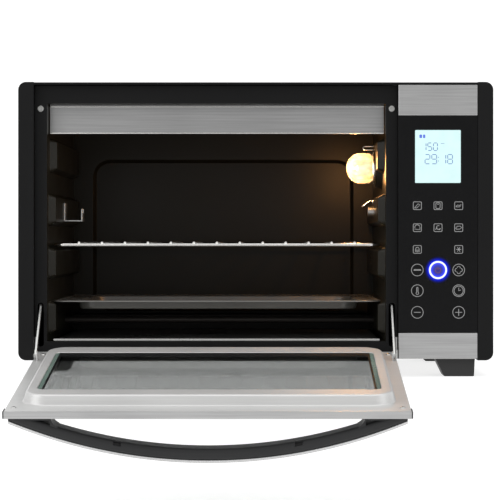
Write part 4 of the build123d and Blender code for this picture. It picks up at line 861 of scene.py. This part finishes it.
# ---------------------------------------------------------------- shelves
class OVEN_OT_shelves(bpy.types.Operator):
    """Wire rack, baking tray and crumb tray"""

    bl_idname = "oven.shelves"
    bl_label = "Shelves"

    bars: IntProperty(name="Rack bars", description="Bars of the wire rack", default=13, min=3)
    pitch: FloatProperty(name="Bar pitch", description="Spacing of the bars", unit="LENGTH", default=0.0264)

    def execute(self, context):
        self.rack()
        self.tray()
        self.crumbs()
        return {"FINISHED"}

    def rack(self):
        """A frame of round wire, bars across it whose ends dip onto it, and two stays under them."""
        low, high = corners("wire_rack")
        radius, thin = 2.0, 1.5
        outline = rounded_run((low.x + radius, low.y + radius), (high.x - radius, high.y - radius), 12.0)
        z = low.z + radius
        shape = wire_shape([([(x, y, z) for x, y in outline], True)], radius)
        top, dip = high.z - thin, high.z - thin - 0.7
        bars = []
        for bar in range(self.bars):
            x = (low.x + high.x) / 2 + (bar - (self.bars - 1) / 2) * self.pitch * 1000
            run = [(x, low.y + 0.6, dip), (x, low.y + 4, top), (x, high.y - 4, top), (x, high.y - 0.6, dip)]
            bars.append((run, False))
        merge(shape, wire_shape(bars, thin))
        stays = [([(low.x + radius, y, z), (high.x - radius, y, z)], False) for y in (-60.0, 30.0)]
        merge(shape, wire_shape(stays, radius))
        settle("wire_rack_wires", shape, ROW, ["bright_steel"], "wire_rack", ("wire_rack",))

    def tray(self):
        """A pressed tray: a rolled rim, a flange, a tapered well with rounded bends and a raised base."""
        low, high = corners("baking_tray")
        sheet, rim, tuck, slope, well = 0.8, 1.4, 2.4, 75, 24.0
        shape = bmesh.new()
        face = flat_face(shape, low, high, high.z - 2 * rim, 16.0)
        face = step_in(shape, face, bend(rim, 90, 0, 4) + [(1.2, 0.0)] + bend(rim, 0, -40, 2) + bend(rim, -40, 0, 2))
        face = framed(shape, face, (low.x + well, low.y + well), (high.x - well, high.y - well), 24.0)
        turns = bend(tuck, 0, -slope), bend(tuck, -slope, 0)
        wall = face.verts[0].co.z - low.z - sheet + sum(rise for turn in turns for _, rise in turn)
        face = step_in(shape, face, turns[0] + [(wall / math.tan(math.radians(slope)), -wall)] + turns[1])
        step_in(shape, face, [(6.0, 0.0), *bend(1.2, 0, 25, 2), *bend(1.2, 25, 0, 2)])
        bmesh.ops.solidify(shape, geom=shape.faces, thickness=sheet)
        settle("baking_tray_pressed", shape, ROW, ["tray_enamel"], "baking_tray", ("baking_tray",))

    def crumbs(self):
        """A flat sheet with an upright lip along its front."""
        low, high = corners("crumb_tray")
        shape = slab((low.x, low.y + 1.2, low.z), (high.x, high.y, low.z + 0.8), 3.0, 0.25)
        lip = slab((low.x, low.z, 0.0), (high.x, high.z, 1.0), min(4.5, (high.z - low.z) * 0.48), 0.3)
        lip.transform(Matrix.Translation((0, low.y + 1.0, 0)) @ Matrix.Rotation(math.pi / 2, 4, "X"))
        merge(shape, lip)
        settle("crumb_tray_sheet", shape, ROW, ["zinc_steel"], "crumb_tray", ("crumb_tray",))


# ---------------------------------------------------------------- door
# Out of the door's face, the height of the inner panel's flange. Along the door, the pressed ring's
# and the window's ends.
FLANGE = -3.0
RING_ENDS = (22.0, 280.0)
WINDOW_ENDS = (55.0, 252.0)
RING_SLOPE = 75
RING_SIDE = 14.5
WINDOW_SIDE = RING_SIDE + 12


class OVEN_OT_door(bpy.types.Operator):
    """Pressed inner panel, glass panes with their print, trims, end caps, screws and pins"""

    bl_idname = "oven.door"
    bl_label = "Door"

    def execute(self, context):
        self.inner_panel()
        self.panes()
        soften(door_trim_top=0.35, door_trim_bottom=0.35, door_end_caps=0.5)
        screw_heads("door_screw_heads", "door_screws", 3.0, 1.2, FLANGE, (0, 0, -1), DOOR, "door")
        soften(hinge_pins=0.3, link_pins=0.3, handle_screws=0.3)
        return {"FINISHED"}

    def inner_panel(self):
        """The sheet is carried up from its flange over the pressed ring to the window, and turned down there."""
        low, high = corners("door_inner_panel", DOOR)
        radius = sizes().bend * 1000
        slope = math.radians(RING_SLOPE)
        shape = bmesh.new()
        outside = turn_over(shape, flat_face(shape, low, high, FLANGE, 2.0))
        hem = list(outside.edges)
        grow = radius * math.sin(slope)
        foot_low = (low.x + RING_SIDE - grow, RING_ENDS[0] - grow)
        foot_high = (high.x - RING_SIDE + grow, RING_ENDS[1] + grow)
        inside = framed(shape, outside, foot_low, foot_high, 25.0 + grow)
        bends = bend(radius, 0, RING_SLOPE), bend(radius * 1.25, RING_SLOPE, 0)
        straight = (FLANGE - low.z - sum(rise for turn in bends for _, rise in turn)) / math.sin(slope)
        climb = (straight * math.cos(slope), straight * math.sin(slope))
        top = step_in(shape, inside, [*bends[0], climb, *bends[1]])
        sides = low.x + WINDOW_SIDE, high.x - WINDOW_SIDE
        window = framed(shape, top, (sides[0], WINDOW_ENDS[0]), (sides[1], WINDOW_ENDS[1]), 8.0)
        lip = step_in(shape, window, bend(0.6, 0, -85, 3) + [(0.0, -0.3)])
        bmesh.ops.delete(shape, geom=[lip], context="FACES_ONLY")
        drawn_out(shape, bmesh.ops.extrude_edge_only(shape, edges=hem)["geom"], (0, 0, 6.3))
        rounded(shape, hem, 0.9, 3)
        bmesh.ops.recalc_face_normals(shape, faces=shape.faces)
        if next(face for face in shape.faces if abs(face.normal.z) > 0.99).normal.z > 0:
            bmesh.ops.reverse_faces(shape, faces=shape.faces)
        bmesh.ops.solidify(shape, geom=shape.faces, thickness=0.8)
        self.lugs(shape)
        settle("door_panel_pressed", shape, DOOR, ["door_steel"], "door", ("door_inner_panel",))

    def lugs(self, shape):
        """The ears on the inner panel that carry the links' pins."""
        for link, side in (("hinge_link_left", 1), ("hinge_link_right", -1)):
            low, high = corners(link)
            face = high.x + 0.2 if side > 0 else low.x - 0.2
            near, far = sorted((face, face + side * 1.2))
            rounded_slab(shape, (near, 40.0, -12.0), (far, 50.0, FLANGE + 0.1), 0.0, 0.2)

    def panes(self):
        """The two panes, the black print round the outer one, and the inner one's edges and seal."""
        self.pane("inner_pane", "inner_glass", 8.0, 0.8, "clear_glass")
        low, high = self.pane("outer_pane", "outer_glass", 2.0, 0.6, "printed_glass")
        shape = bmesh.new()
        face = flat_face(shape, (low.x + 0.5, low.y + 0.5), (high.x - 0.5, high.y - 0.5), low.z - 0.1, 2.0)
        face = framed(shape, face, (low.x + 27, low.y + 20), (high.x - 27, high.y - 16), 8.0)
        bmesh.ops.delete(shape, geom=[face], context="FACES_ONLY")
        bmesh.ops.solidify(shape, geom=shape.faces, thickness=0.06)
        settle("outer_pane_print", shape, DOOR, ["glass_print"], "door")
        self.window_edges()

    def pane(self, name, node, corner, edge, finish):
        """A pane with green edges, and its box."""
        low, high = corners(node, DOOR)
        shape = slab(low, high, corner, edge)
        for face in shape.faces:
            face.normal_update()
            if abs(face.normal.z) < 0.98:
                face.material_index = 1
        settle(name, shape, DOOR, [finish, "glass_edge"], "door", (node,))
        return low, high

    def window_edges(self):
        """The inner pane's ground edges, which show as green bands along the window's sides, and its seal."""
        low, high = corners("door_inner_panel", DOOR)
        face = corners("inner_glass", DOOR)[0].z
        start, end = WINDOW_ENDS[0] + 2, WINDOW_ENDS[1] - 6
        ground, seal = bmesh.new(), bmesh.new()
        for inner, side in ((low.x + WINDOW_SIDE, 1), (high.x - WINDOW_SIDE, -1)):
            for shape, gap, wide in ((ground, 0.9, 4.2), (seal, 5.3, 2.4)):
                near, far = sorted((inner + side * gap, inner + side * (gap + wide)))
                rounded_slab(shape, (near, start, face - 0.45), (far, end, face - 0.05), 0.15, 0.12, 2)
        across = low.x + WINDOW_SIDE + 1, high.x - WINDOW_SIDE - 1
        rounded_slab(seal, (across[0], start - 0.8, face - 0.4), (across[1], start + 19, face - 0.06), 0.2, 0.1, 2)
        settle("inner_pane_ground_edges", ground, DOOR, ["ground_glass"], "door")
        settle("inner_pane_seal", seal, DOOR, ["glass_print"], "door")


# The bow's radius along its crown, the grip's thickness, each foot's length and the fillet beside it, and
# the slots' distance from the middle and half their width.
BOW_RADIUS = 515.0
GRIP_THICK = 11.5
FOOT_LENGTH = 43.0
FILLET = 6.5
SLOT_PLACE = 91
SLOT_HALF = 4.0


class OVEN_OT_handle(bpy.types.Operator):
    """Bowed grip and its metallised strip"""

    bl_idname = "oven.handle"
    bl_label = "Handle"

    steps: IntProperty(name="Bow steps", description="Steps along the bow", default=48, min=8)

    def execute(self, context):
        grip_low, grip_high = corners("handle_grip", DOOR)
        low, high = corners("handle_strip", DOOR)
        self.middle, self.half = (grip_low.x + grip_high.x) / 2, (grip_high.x - grip_low.x) / 2
        crown = grip_high.z
        self.centre = crown - BOW_RADIUS
        across = (grip_low.y + 1.5, grip_high.y)
        grip = self.bow(across, (crown - GRIP_THICK, crown), 4.6)
        self.trim(grip, [((0, 0, grip_low.z), (0, 0, -1))])
        self.clip_slots(grip, across)
        for side in (-1, 1):
            self.foot(grip, side, across, grip_low.z)
        # the grip's second finish, the black print, is painted shade in its clip slots
        self.finish_bow(grip, "grip", ["handle_plastic", "glass_print"])
        self.finish_bow(self.bow((low.y, high.y), (crown - 0.2, high.z), 1.1), "strip", ["handle_silver"])
        return {"FINISHED"}

    def finish_bow(self, shape, part, finishes):
        settle(f"handle_{part}_bow", shape, DOOR, finishes, "door", (f"handle_{part}",), 45.0)

    def bow(self, across, out, rounding):
        """Sweeps a rounded section about the bow's centre and trims its ends."""
        shape = bmesh.new()
        angle = math.asin(self.half / BOW_RADIUS) + 0.02
        section = flat_face(shape, (across[0], out[0]), (across[1], out[1]), 0.0, rounding, 5)
        upright = Matrix(((0, 0, 1, 0), (1, 0, 0, 0), (0, 1, 0, 0), (0, 0, 0, 1)))
        shape.transform(Matrix.Translation((self.middle, 0, 0)) @ upright)
        pivot = (self.middle, 0, self.centre)
        bmesh.ops.rotate(shape, verts=shape.verts, cent=pivot, matrix=Matrix.Rotation(-angle, 3, "Y"))
        bmesh.ops.spin(
            shape, geom=[section, *section.edges, *section.verts], cent=pivot, axis=(0, 1, 0),
            angle=2 * angle, steps=self.steps, use_duplicate=False,
        )
        bmesh.ops.remove_doubles(shape, verts=shape.verts, dist=0.01)
        self.trim(shape, [((self.middle + side * self.half, 0, 0), (side, 0, 0)) for side in (-1, 1)])
        return shape

    def trim(self, shape, planes):
        """Drops what lies outside each plane and closes the cut."""
        for place, outwards in planes:
            cut(shape, place, outwards, True)
            close_ends(shape)

    def clip_slots(self, shape, across):
        """Two shallow sunk slots on the face towards the user, near the grip's inner edge, their floors black as
        painted shade for the depth of a real slot.
        """
        reach = BOW_RADIUS - GRIP_THICK * 0.55
        pivot = Vector((self.middle, 0, self.centre))
        for side in (-1, 1):
            middle = self.middle + side * SLOT_PLACE
            for edge in (-SLOT_HALF, SLOT_HALF):
                cut(shape, (middle + edge, 0, 0), (1, 0, 0))
            slot = []
            for face in shape.faces:
                place = face.calc_center_median()
                inside = abs(place.x - middle) < SLOT_HALF - 0.1 and place.y > sum(across) / 2 + 4
                if inside and (place - pivot).xz.length < reach:
                    slot.append(face)
            bmesh.ops.inset_region(shape, faces=slot, thickness=0.2, depth=-1.5, use_even_offset=True)
            # the slot floors take the black print finish: painted shade
            for face in slot:
                face.material_index = 1

    def foot(self, shape, side, across, floor):
        """One foot: a moulded block under the end of the bow, with a fillet towards the grip's gap."""
        inset = self.half - FOOT_LENGTH
        inner = self.middle + side * inset
        low, high = sorted((inner, self.middle + side * (self.half - 0.3)))
        top = self.centre + math.sqrt(BOW_RADIUS**2 - (self.half - 6.0) ** 2) - 3.0
        rounded_slab(shape, (low, across[0] + 0.4, floor), (high, across[1] - 0.4, top), 2.0, 0.6)
        under = math.sqrt((BOW_RADIUS - GRIP_THICK) ** 2 - inset**2)
        points = [(-1.0, FILLET), (-1.0, -1.5), (FILLET, -1.5)]
        points += [(FILLET - out, FILLET - up) for out, up in arc((0, 0), FILLET, 90, 0, 6)]
        fillet = bmesh.new()
        y, slope = across[0] + 1.2, inset / under
        places = [(inner - side * x, y, self.centre + under - z + slope * x) for x, z in points]
        face = fillet.faces.new([fillet.verts.new(place) for place in places])
        swept = bmesh.ops.extrude_face_region(fillet, geom=[face], use_keep_orig=True)["geom"]
        drawn_out(fillet, swept, (0, across[1] - across[0] - 2.4, 0))
        bmesh.ops.recalc_face_normals(fillet, faces=fillet.faces)
        merge(shape, fillet)


# ---------------------------------------------------------------- hinge gear
class OVEN_OT_hinges(bpy.types.Operator):
    """Hinge brackets, links and the coiled springs that draw them in"""

    bl_idname = "oven.hinges"
    bl_label = "Hinge gear"

    turns: IntProperty(name="Spring turns", description="Turns of each door spring", default=38, min=6)

    def execute(self, context):
        soften(hinge_brackets=0.4, hinge_link_left=0.4, hinge_link_right=0.4)
        replaces = ("door_springs",)
        for (low, high), name in zip(islands("door_springs"), ("left", "right")):
            self.spring(f"door_spring_{name}", low, high, replaces)
            replaces = ()
        return {"FINISHED"}

    def spring(self, name, low, high, replaces):
        """A straight hook, a close coil and a second hook, drawn along the line from link to anchor."""
        x = (low.x + high.x) / 2
        start, end = Vector((x, low.y + 0.8, high.z - 3.2)), Vector((x, high.y - 0.8, low.z + 3.2))
        along = (end - start).normalized()
        side = Vector((1, 0, 0))
        up = along.cross(side)
        hook, coil, sides = 14.0, 2.5, 10
        close = (end - start).length - 2 * hook
        steps = self.turns * sides
        points = [start]
        for step in range(steps + 1):
            angle = math.tau * step / sides
            ease = min(1.0, step / sides, (steps - step) / sides)
            travel = hook + close * step / steps
            points.append(start + along * travel + (side * math.cos(angle) + up * math.sin(angle)) * coil * ease)
        points.append(end)
        shape = wire_shape([(points, False)], 0.65, 1)
        made = settle(name, shape, ROW, ["zinc_steel"], "case", replaces)
        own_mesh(made)


# ---------------------------------------------------------------- controls
SEGMENTS = {"0": "abcdef", "1": "bc", "2": "abged", "5": "afgcd", "8": "abcdefg", "9": "abcdfg"}
DIGIT_ASPECT = 0.52
KEY_SPACING = 23.5
KEY_ROWS = (194.8, 169.8, 145.1, 121.7, 98.2, 73.6)


def segment_bars(height):
    """The middle, length and direction of each segment of a digit, from its lower left corner."""
    width = height * DIGIT_ASPECT
    bars = {name: (width / 2, height * level, width, 0) for name, level in (("a", 1), ("g", 0.5), ("d", 0))}
    for name, across, level in (("f", 0, 0.75), ("b", width, 0.75), ("e", 0, 0.25), ("c", width, 0.25)):
        bars[name] = (across, height * level, height / 2, 1)
    return bars


def line(*points):
    """An open line of a drawing, as (points, closed)."""
    return points, False


def key_drawings():
    """Each touch key's column, its row and its line drawing about its middle."""
    square = (rounded_run((-4.6, -4.4), (4.6, 4.4), 1.2, 3), True)
    ring = (arc((0, 0), 6.7, 0, 345, 30), True)
    across = line((-3.9, 0), (3.9, 0))
    rays = [line((x, y), (-x, -y)) for x, y in arc((0, 0), 2.9, 0, 120, 2)]
    middles = arc((0, 0), 2.3, 0, 270, 3)
    petals = [line(*arc(middle, 1.9, turn - 100, turn + 80, 6)) for middle, turn in zip(middles, (0, 90, 180, 270))]
    wing = line((-3.2, -2.6), (-0.6, -2.6), (2.9, 1.0), (0.8, 2.2), (-3.2, -2.6))
    slice_ = line((-3.2, -1.0), (-1.2, 0.8), (1.0, 0.2), (3.2, 1.6), (1.4, -1.2), (-1.6, -1.4), (-3.2, -1.0))
    fish = line((-3.4, -0.6), (-1.6, 1.6), (1.8, 1.8), (3.4, 0.2), (1.2, -1.6), (-2.4, -1.8), (-3.4, -0.6))
    can = [(rounded_run((-2.4, -3.2), (2.4, 3.2), 1.0, 2), True), line((-0.9, 1.6), (0.9, 1.6))]
    bowl = [line(*arc((0, 0.4), 2.9, 20, 200, 8)), line((-3.1, -1.6), (3.0, -2.2), (2.9, 0.6))]
    drumstick = [
        line(*arc((0.4, 0.2), 2.2, 60, 330, 9)), line((-3.0, -2.2), (-1.0, 0.2)), line((1.4, -2.6), (3.0, -0.8)),
    ]
    loaf = [line(*arc((0, 0.4), 2.0, 0, 180, 6)), line((-2.0, 0.4), (-2.0, -2.8)), line((2.0, 0.4), (2.0, -2.8))]
    loaf.append(line((-0.6, -0.2), (-0.6, -2.8), (0.7, -2.8), (0.7, -0.2)))
    bulb = [line(*arc((0, -2.9), 1.5, 110, 430, 9)), line((-0.75, -1.5), (-0.75, 3.2))]
    bulb += [line((0.75, 3.2), (0.75, -1.5)), line(*arc((0, 3.2), 0.75, 0, 180, 4))]
    clock = [(arc((0, 0), 5.2, 0, 345, 24), True), line((0, 3.4), (0, 0), (2.4, 0.9))]
    return (
        (-1, 0, [square, wing]),
        (0, 0, [square, *can]),
        (1, 0, [square, slice_]),
        (-1, 1, [square, *bowl]),
        (0, 1, [square, *drumstick]),
        (1, 1, [square, fish]),
        (-1, 2, [square, *loaf]),
        (1, 2, [square, *rays]),
        (-1, 3, [ring, line((-4.2, -0.35), (4.2, -0.35)), line((-4.0, 0.55), (4.0, 0.55))]),
        (1, 3, [ring, *petals]),
        (-1, 4, [ring, *bulb]),
        (1, 4, [ring, *clock]),
        (-1, 5, [ring, across]),
        (1, 5, [ring, across, line((0, -3.9), (0, 3.9))]),
    )


def flattened(runs, radius, share, face):
    """Wire along runs in the panel's plane, pressed flat onto it."""
    shape = wire_shape(runs, radius, 1)
    bmesh.ops.scale(shape, vec=(1, share, 1), verts=shape.verts)
    bmesh.ops.translate(shape, vec=(0, face, 0), verts=shape.verts)
    return shape


class OVEN_OT_controls(bpy.types.Operator):
    """Control panel: plates, touch glass, display with its digits, key legends and the lit power key"""

    bl_idname = "oven.controls"
    bl_label = "Controls"

    def execute(self, context):
        soften(control_plate_top=0.25, control_plate_bottom=0.25, touch_panel=0.3, control_housing=0.4)
        refinish("control_board", "power_board", "terminal_block")
        self.display()
        self.legends()
        self.power_key()
        return {"FINISHED"}

    def display(self):
        """The display's lit face, its digits, the colon and dash between them, and its marker."""
        low, high = corners("lcd_display")
        shape = slab((low.x, -high.z, low.y), (high.x, -low.z, high.y), 0.8, 0.25)
        shape.transform(Matrix.Rotation(-math.pi / 2, 4, "X"))
        settle("lcd_window", shape, ROW, ["lcd_face"], "case", ("lcd_display",))
        tall = sizes().digit_height * 1000
        wide, deep = high.x - low.x, high.z - low.z
        ink = bmesh.new()
        base = 0.36
        clock = (("29", tall, 0.215, base, 2.2), ("18", tall, 0.565, base, 2.2))
        texts = (("150", tall * 0.82, 0.150, 0.612, 2.0), *clock)
        for text, height, left, level, gap in texts:
            x = low.x + left * wide
            z = low.z + level * deep
            bars = segment_bars(height)
            for digit in text:
                for name in SEGMENTS[digit]:
                    across, up, length, upright = bars[name]
                    size = (1.0, length - 1.1) if upright else (length - 1.1, 1.0)
                    self.bar(ink, x + across, z + up, size, low.y)
                x += height * DIGIT_ASPECT + gap
        for dot in (0.3, 0.7):
            self.bar(ink, low.x + 0.51 * wide, low.z + base * deep + dot * tall, (1.0, 1.0), low.y)
        self.bar(ink, low.x + 0.60 * wide, low.z + 0.745 * deep, (4.2, 0.5), low.y)
        settle("lcd_segments", ink, ROW, ["lcd_digits"], "case")
        marker = bmesh.new()
        for left, size in ((0.12, (3.0, 4.0)), (0.195, (2.6, 4.0))):
            self.bar(marker, low.x + left * wide, low.z + 0.882 * deep, size, low.y)
        settle("lcd_mode_marker", marker, ROW, ["lcd_marker"], "case")

    def bar(self, shape, x, z, size, face):
        """One lit bar, a hair in front of the display's face."""
        made = slab((-size[0] / 2, -size[1] / 2, 0.0), (size[0] / 2, size[1] / 2, 0.08), min(size) * 0.3)
        made.transform(Matrix.Translation((x, face - 0.02, z)) @ Matrix.Rotation(math.pi / 2, 4, "X"))
        merge(shape, made)

    def legends(self):
        """The line drawings printed on the touch keys."""
        low, high = corners("touch_panel")
        runs = []
        for column, row, drawing in key_drawings():
            x, z = (low.x + high.x) / 2 + KEY_SPACING * column, KEY_ROWS[row]
            runs += [([(x + across, 0.0, z + up) for across, up in points], closed) for points, closed in drawing]
        shape = flattened(runs, sizes().legend_line * 500, 0.18, low.y)
        settle("key_legends", shape, ROW, ["key_legend"], "case")

    def power_key(self):
        """The power key's lit ring, the light that it spreads on the glass, and its mark."""
        centre, radius = key_centre()
        depth = corners("power_key_light")[1].y - centre.y
        profile = [(0.0, 0.0), (radius * 0.68, 0.0), (radius * 0.76, 0.25), (radius * 0.94, 0.25), (radius, -0.05)]
        profile += [(radius, -depth), (0.0, -depth)]
        shape = bmesh.new()
        lathe(shape, profile, centre, (0, -1, 0), 48)
        settle("power_key_ring", shape, ROW, ["key_light"], "case", ("power_key_light",))
        glow = bmesh.new()
        inner, outer = radius + 0.2, radius + sizes().glow_reach * 1000
        profile = [(inner, 0.03), (outer, 0.03), (outer, 0.01), (inner, 0.01), (inner, 0.03)]
        lathe(glow, profile, (centre.x, corners("touch_panel")[0].y, centre.z), (0, -1, 0), 48)
        settle("power_key_glow", glow, ROW, ["key_glow"], "case")
        lines = arc((0, -0.3), 3.0, 125, 415, 14), ((0, 0.6), (0, 3.4))
        runs = [([(centre.x + x, 0, centre.z + z) for x, z in points], False) for points in lines]
        mark = flattened(runs, 0.5, 0.2, centre.y - 0.05)
        settle("power_key_mark", mark, ROW, ["key_mark"], "case")


# ---------------------------------------------------------------- stage
class OVEN_OT_stage(bpy.types.Operator):
    """Pale plinth, floor and backdrop, soft lights and the camera"""

    bl_idname = "oven.stage"
    bl_label = "Stage"

    lens: FloatProperty(name="Lens", description="Focal length, in millimetres", default=152.06)

    def execute(self, context):
        self.ground()
        self.softbox("top_light", (0.1, -0.5, 1.9), (0.0, 0.1, 0.1), (2.4, 1.6), 16.0)
        self.softbox("left_light", (-2.2, -1.6, 1.1), (0.0, -0.1, 0.15), (1.6, 1.6), 22.0)
        self.softbox("right_light", (2.3, -1.5, 1.0), (0.0, -0.1, 0.15), (1.2, 1.6), 12.0)
        world = bpy.data.worlds.new("studio_air")
        world.use_nodes = True
        air = world.node_tree.nodes["Background"].inputs
        air["Color"].default_value = (1.0, 1.0, 1.0, 1.0)
        air["Strength"].default_value = 0.85
        context.scene.world = world
        context.scene.view_settings.view_transform = "Standard"
        self.camera(context.scene)
        return {"FINISHED"}

    def camera(self, scene):
        """A long lens in front of the oven, level with its middle."""
        camera = bpy.data.cameras.new("studio_camera")
        camera.lens = self.lens
        camera.sensor_width = 36.0
        camera.shift_x = -0.05
        camera.shift_y = -0.02
        camera.clip_start, camera.clip_end = 0.05, 40.0
        holder = bpy.data.objects.new("studio_camera", camera)
        holder.location = (0.0219, -2.585, 0.1558)
        holder.rotation_euler = (math.pi / 2, 0.0, 0.0)
        scene.collection.objects.link(holder)
        scene.camera = holder

    def ground(self):
        """A plinth whose front edge is under the hinge, and a floor that sweeps up into a backdrop."""
        drop = -120.0
        front = corners("base_pan")[0].y - 15.0
        plinth = slab((-1400, front, drop), (1400, 5000, 0.0), 0.0, 5.0)
        settle("stage_plinth", plinth, ROW, ["stage_pale"], None)
        floor = bmesh.new()
        face = flat_face(floor, (-9000, -9000), (9000, 8000), drop - 1)
        back = [edge for edge in face.edges if all(vert.co.y > 2000 for vert in edge.verts)]
        drawn_out(floor, bmesh.ops.extrude_edge_only(floor, edges=back)["geom"], (0, 0, 5000))
        rounded(floor, back, 900, 12)
        settle("stage_floor", floor, ROW, ["stage_pale"], None)

    def softbox(self, name, place, aim, size, power):
        """A rectangular light, turned to what it lights."""
        light = bpy.data.lights.new(name, "AREA")
        light.shape = "RECTANGLE"
        light.size, light.size_y = size
        light.energy = power
        holder = bpy.data.objects.new(name, light)
        holder.location = place
        holder.rotation_euler = (Vector(aim) - Vector(place)).to_track_quat("-Z", "Y").to_euler()
        bpy.context.scene.collection.objects.link(holder)


class OVEN_PT_panel(bpy.types.Panel):
    """The oven's builders, in the order that they run"""

    bl_idname = "OVEN_PT_panel"
    bl_label = "Toaster oven"
    bl_space_type = "VIEW_3D"
    bl_region_type = "UI"
    bl_category = "Oven"

    def draw(self, context):
        for builder in BUILDERS:
            self.layout.operator(builder.bl_idname)
        for group in (context.scene.oven_colours, context.scene.oven_sizes):
            for name in group.__annotations__:
                self.layout.prop(group, name)


BUILDERS = (
    OVEN_OT_stage,
    OVEN_OT_casing,
    OVEN_OT_cavity,
    OVEN_OT_lamp,
    OVEN_OT_shelves,
    OVEN_OT_door,
    OVEN_OT_handle,
    OVEN_OT_hinges,
    OVEN_OT_controls,
)
CLASSES = (OvenColours, OvenSizes, *BUILDERS, OVEN_PT_panel)


def register():
    for made in CLASSES:
        bpy.utils.register_class(made)
    bpy.types.Scene.oven_colours = PointerProperty(type=OvenColours)
    bpy.types.Scene.oven_sizes = PointerProperty(type=OvenSizes)


def unregister():
    del bpy.types.Scene.oven_sizes
    del bpy.types.Scene.oven_colours
    for made in reversed(CLASSES):
        bpy.utils.unregister_class(made)


def main():
    register()
    for builder in BUILDERS:
        getattr(bpy.ops.oven, builder.bl_idname.split(".")[1])()


if __name__ == "__main__":
    main()
